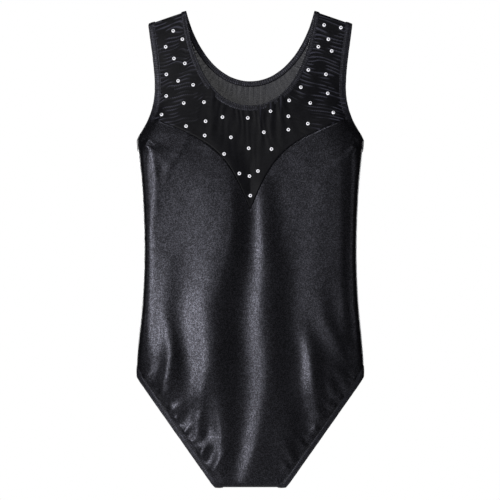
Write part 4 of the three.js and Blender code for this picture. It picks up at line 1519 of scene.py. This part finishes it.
@dataclass
class SeamAllowance:
    """The overlocked edge of cloth that stands inside the garment behind a seam."""

    name: str
    side: Side
    places: Callable[[], tuple[Array, Array]]
    finish: bpy.types.Material
    depth: float = 0.0012
    width: float = 0.0055
    thickness: float = 0.0009
    loop_pitch: float = 0.0021

    def build(self) -> bpy.types.Object:
        """Builds the strip: a flat section carried along the seam, whose free edge has the loops of the overlock.

        The free edge moves in and out by a sine at the loops' pitch, and so does the thickness.
        """
        x, z = self.places()
        point, normal = FORM.surface(self.side, x, z)
        tangent = unit(np.gradient(point, axis=0))
        down = unit(np.cross(normal, tangent))
        down = down * -np.sign(down[:, 2:3] + 1e-12)
        along = run_length(point)
        pulse = np.sin(TURN * along / self.loop_pitch)
        share, angle = rounded_section(14)
        reach = share[None] * self.width + 0.0002 * pulse[:, None] * share[None] ** 2
        half = self.thickness / 2 * np.sin(angle)[None] * (1 + 0.25 * pulse[:, None] * share[None])
        points = (point[:, None] - normal[:, None] * (self.depth + self.thickness / 2 - half)[..., None]
                  + down[:, None] * reach[..., None])
        rows, columns = points.shape[:2]
        caps = [np.arange(columns)[None], (rows - 1) * columns + np.arange(columns)[None, ::-1]]
        walls = grid_faces(rows, columns, False, True)[:, ::-1]
        piece = make_object(self.name, points.reshape(-1, 3), [walls] + caps)
        outward(piece)
        dress(piece, None, "lining", self.finish)
        return piece


# ------------------------------------------------------------------------------------------ the whole garment


@dataclass
class Finishes:
    """Every finish of the garment, built once."""

    foil: bpy.types.Material
    yoke: bpy.types.Material
    sheer: bpy.types.Material
    lining: bpy.types.Material
    binding: bpy.types.Material
    thread: bpy.types.Material
    elastic: bpy.types.Material
    label: bpy.types.Material
    crown: bpy.types.Material
    table: bpy.types.Material

    @classmethod
    def build(cls) -> "Finishes":
        """Builds them all."""
        return cls(
            foil=FoilKnit().build(),
            # Painted tones on the crests of the gathers: lighter than the ground on the ruched mesh, a painted
            # highlight; darker on the sheer mesh.
            yoke=PowerMesh("ruched_mesh").build(),
            sheer=PowerMesh("sheer_mesh", colour=0.016, lift=0.045, painted_crest_tone=0.008, alpha=0.78).build(),
            lining=PlainKnit("lining_knit", grey(0.016)).build(),
            binding=FoilBinding().build(),
            thread=Thread().build(),
            elastic=PlainKnit("elastic_knit", (0.78, 0.76, 0.71, 1), rib=0.0012).build(),
            label=PlainKnit("label_satin", (0.86, 0.86, 0.84, 1), rib=0.0004, roughness=0.35).build(),
            # The crown finish is painted near white with a glow: a painted glint. The table finish is a real mirror
            # whose dark tint is painted shade.
            crown=Crystal("crystal_crown_painted_glint", 0.86, 0.98, 0.25, 0.16, 0.85).build(),
            table=Crystal("crystal_table_painted_shade", 0.06, 0.20, 0.95, 0.05, 0.0).build(),
        )


@dataclass
class Leotard:
    """The garment: body, yokes, linings, bindings, stones and label."""

    finishes: Finishes
    seam_edge_reach: float = 0.112

    def build(self) -> None:
        """Builds every sub-assembly, from the bindings inwards."""
        f = self.finishes
        legs = EDGES.leg(Side.FRONT).closed_with(EDGES.leg(Side.BACK))
        arms = EDGES.armhole(Side.FRONT).closed_with(EDGES.armhole(Side.BACK))
        neck = EDGES.neck(Side.FRONT).with_mirror_image().closed_with(EDGES.neck(Side.BACK).with_mirror_image())
        loops = {"neck": neck, "armhole_right": arms, "armhole_left": arms.mirrored(),
                 "leg_right": legs, "leg_left": legs.mirrored()}
        trim = {}
        for seed, (place, lines) in enumerate(loops.items()):
            opening, *hand = place.split("_")
            node = "_".join([opening, "binding", *hand])
            elastic = "_".join([opening, "elastic", *hand])
            trim[place] = Binding(f"{place}_band", lines, node, elastic, 40 + seed, f.binding, f.elastic,
                                  f.thread).build()
        stones = Stones(f.crown, f.table).build()

        BodyPanel("front_foil_panel", Side.FRONT, "front_body", "foil_fabric", f.foil,
                  folds=(*FRONT_ROLLS, *edge_pleats(20)), seed=3).build(trim["leg_left"] + trim["leg_right"])
        BodyPanel("back_foil_panel", Side.BACK, "back_body", "foil_fabric", f.foil,
                  folds=(*BACK_ROLLS, *edge_pleats(30)), seed=5).build()
        gathers = ((-0.046, 0.0035, 0.0010), (0.012, 0.0030, 0.0008), (0.024, 0.0034, 0.0011),
                   (0.036, 0.0032, 0.0009))
        YokePanel("front_yoke", Side.FRONT, "front_yoke_mesh", "yoke_mesh", f.yoke, chest_gathers=gathers,
                  seed=11).build(trim["neck"] + trim["armhole_left"] + trim["armhole_right"] + stones)
        back_gathers = ((-0.038, 0.0016, 0.0006), (-0.033, 0.0012, 0.0006), (-0.027, 0.0013, 0.0007),
                        (-0.021, 0.0012, 0.0008), (-0.016, 0.0016, 0.0008), (-0.0075, 0.0014, 0.0007),
                        (-0.002, 0.0012, 0.0005), (0.004, 0.0016, 0.0005), (0.011, 0.0014, 0.0004),
                        (0.018, 0.0016, 0.0004))
        YokePanel("back_yoke", Side.BACK, "back_yoke_mesh", "sheer_mesh", f.sheer, thickness=0.0005,
                  chest_gathers=back_gathers, ruching=0.00022, seed=14).build()
        YokePanel("front_yoke_lining_layer", Side.FRONT, "front_yoke_lining", "lining", f.lining, thickness=0.0006,
                  depth=0.00165, spacing=0.0012, columns=36, chest_gathers=gathers, seed=11).build()
        CrotchLining("crotch_lining_layer", Side.FRONT, "crotch_lining", "lining", f.lining, thickness=0.0006,
                     depth=0.0013).build()
        CareLabel("blank_label", Side.BACK, "care_label", "label", f.label, thickness=0.00025,
                  depth=0.0017).build()
        self.build_seam_allowances()

    def build_seam_allowances(self) -> None:
        """Builds the overlocked strips behind the two yoke seams."""
        for side in Side:
            def places(side: Side = side) -> tuple[Array, Array]:
                """Returns places along the yoke's seam, evenly spaced."""
                x = np.linspace(-self.seam_edge_reach, self.seam_edge_reach, 1200)
                z = NECKLINE.seam_height(side, x)
                length = run_length(np.stack([x, z], -1))
                even = np.linspace(0, length[-1], 520)
                return np.interp(even, length, x), np.interp(even, length, z)

            SeamAllowance(f"{side.name.lower()}_yoke_seam_edge", side, places, self.finishes.lining,
                          depth=0.0022 if side is Side.FRONT else 0.0010).build()


# ------------------------------------------------------------------------------------------ studio


@dataclass
class Studio:
    """A plain pale floor, soft lights and the camera, straight in front of the garment."""

    distance: float = 1.667
    lens: float = 100.0
    sensor: float = 36.0
    centre: tuple[float, float] = (-0.0004, -0.2868)
    floor_drop: float = 0.45
    floor_radius: float = 1.15
    floor_sides: int = 96
    ambient: float = 0.012
    lights: Mapping[str, tuple] = field(default_factory=lambda: {
        "key": ((-1.02, -2.05, -0.50), (0.34, 1.5), 18.0),
        "front": ((-0.25, -2.4, -0.2), (0.8, 1.2), 1.6),
        "left_edge": ((-2.0, -0.7, 0.0), (0.6, 1.6), 1.6),
        "right_edge": ((1.9, -1.0, -0.1), (0.6, 1.6), 1.6),
        "top": ((-0.3, -1.1, 1.5), (0.9, 0.4), 6.0),
        "rear_left": ((-1.15, 2.4, 0.3), (0.6, 1.6), 22.0),
        "rear_right": ((1.15, 2.4, 0.1), (0.6, 1.6), 10.0),
    })

    def build(self) -> None:
        """Builds the camera, the lights, the world and the floor."""
        scene = bpy.context.scene
        scene.view_settings.view_transform = "Standard"
        self.build_camera()
        self.build_world()
        self.build_floor()
        for name, (place, size, power) in self.lights.items():
            self.light(name, place, size, power)

    def build_camera(self) -> None:
        """Puts the camera level with the middle of the garment."""
        data = bpy.data.cameras.new("camera")
        data.lens, data.sensor_width = self.lens, self.sensor
        camera = bpy.data.objects.new("camera", data)
        camera.location = (self.centre[0], -self.distance, self.centre[1])
        camera.rotation_euler = (math.pi / 2, 0, 0)
        bpy.context.scene.collection.objects.link(camera)
        bpy.context.scene.camera = camera

    def build_world(self) -> None:
        """Makes a white backdrop that lights the garment only dimly."""
        world = bpy.data.worlds.new("world")
        world.use_nodes = True
        tree = world.node_tree
        tree.nodes.clear()
        path = tree.nodes.new("ShaderNodeLightPath")
        backdrop, ambient = (tree.nodes.new("ShaderNodeBackground") for _ in range(2))
        backdrop.inputs["Strength"].default_value = 1.0
        backdrop.inputs["Color"].default_value = (1, 1, 1, 1)
        ambient.inputs["Strength"].default_value = self.ambient
        ambient.inputs["Color"].default_value = (1, 1, 1, 1)
        mix = tree.nodes.new("ShaderNodeMixShader")
        output = tree.nodes.new("ShaderNodeOutputWorld")
        tree.links.new(path.outputs["Is Camera Ray"], mix.inputs[0])
        tree.links.new(ambient.outputs[0], mix.inputs[1])
        tree.links.new(backdrop.outputs[0], mix.inputs[2])
        tree.links.new(mix.outputs[0], output.inputs["Surface"])
        bpy.context.scene.world = world

    def build_floor(self) -> None:
        """Makes a pale round floor well under the garment."""
        angle = np.linspace(0, TURN, self.floor_sides, endpoint=False)
        level = CROTCH_HEIGHT - SHOULDER_HEIGHT - self.floor_drop
        rim = np.stack([self.floor_radius * np.cos(angle), self.floor_radius * np.sin(angle),
                        np.full_like(angle, level)], -1)
        floor = make_object("floor", rim, [np.arange(self.floor_sides)[None]], smooth=False)
        graph = Graph("floor_paint")
        mottle = graph.noise(0.4, 2)
        graph.set(Base_Color=graph.blend(mottle, grey(0.76), grey(0.82)), Roughness=0.6 + 0.1 * mottle)
        floor.data.materials.append(graph.material)

    def light(self, name: str, place: tuple[float, float, float], size: tuple[float, float], power: float) -> None:
        """Adds an oblong soft light, of that width and height, that faces the garment's middle."""
        data = bpy.data.lights.new(name, "AREA")
        data.shape = "RECTANGLE"
        data.size, data.size_y = size
        data.energy = power
        lamp = bpy.data.objects.new(name, data)
        lamp.location = place
        aim = Vector((0.0, 0.0, self.centre[1])) - Vector(place)
        lamp.rotation_mode = "QUATERNION"
        lamp.rotation_quaternion = aim.to_track_quat("-Z", "Y")
        bpy.context.scene.collection.objects.link(lamp)


def main() -> None:
    """Builds the studio and the garment."""
    logging.basicConfig(level=logging.INFO, format="%(name)s: %(message)s")
    Studio().build()
    Leotard(Finishes.build()).build()


if __name__ == "__main__":
    main()
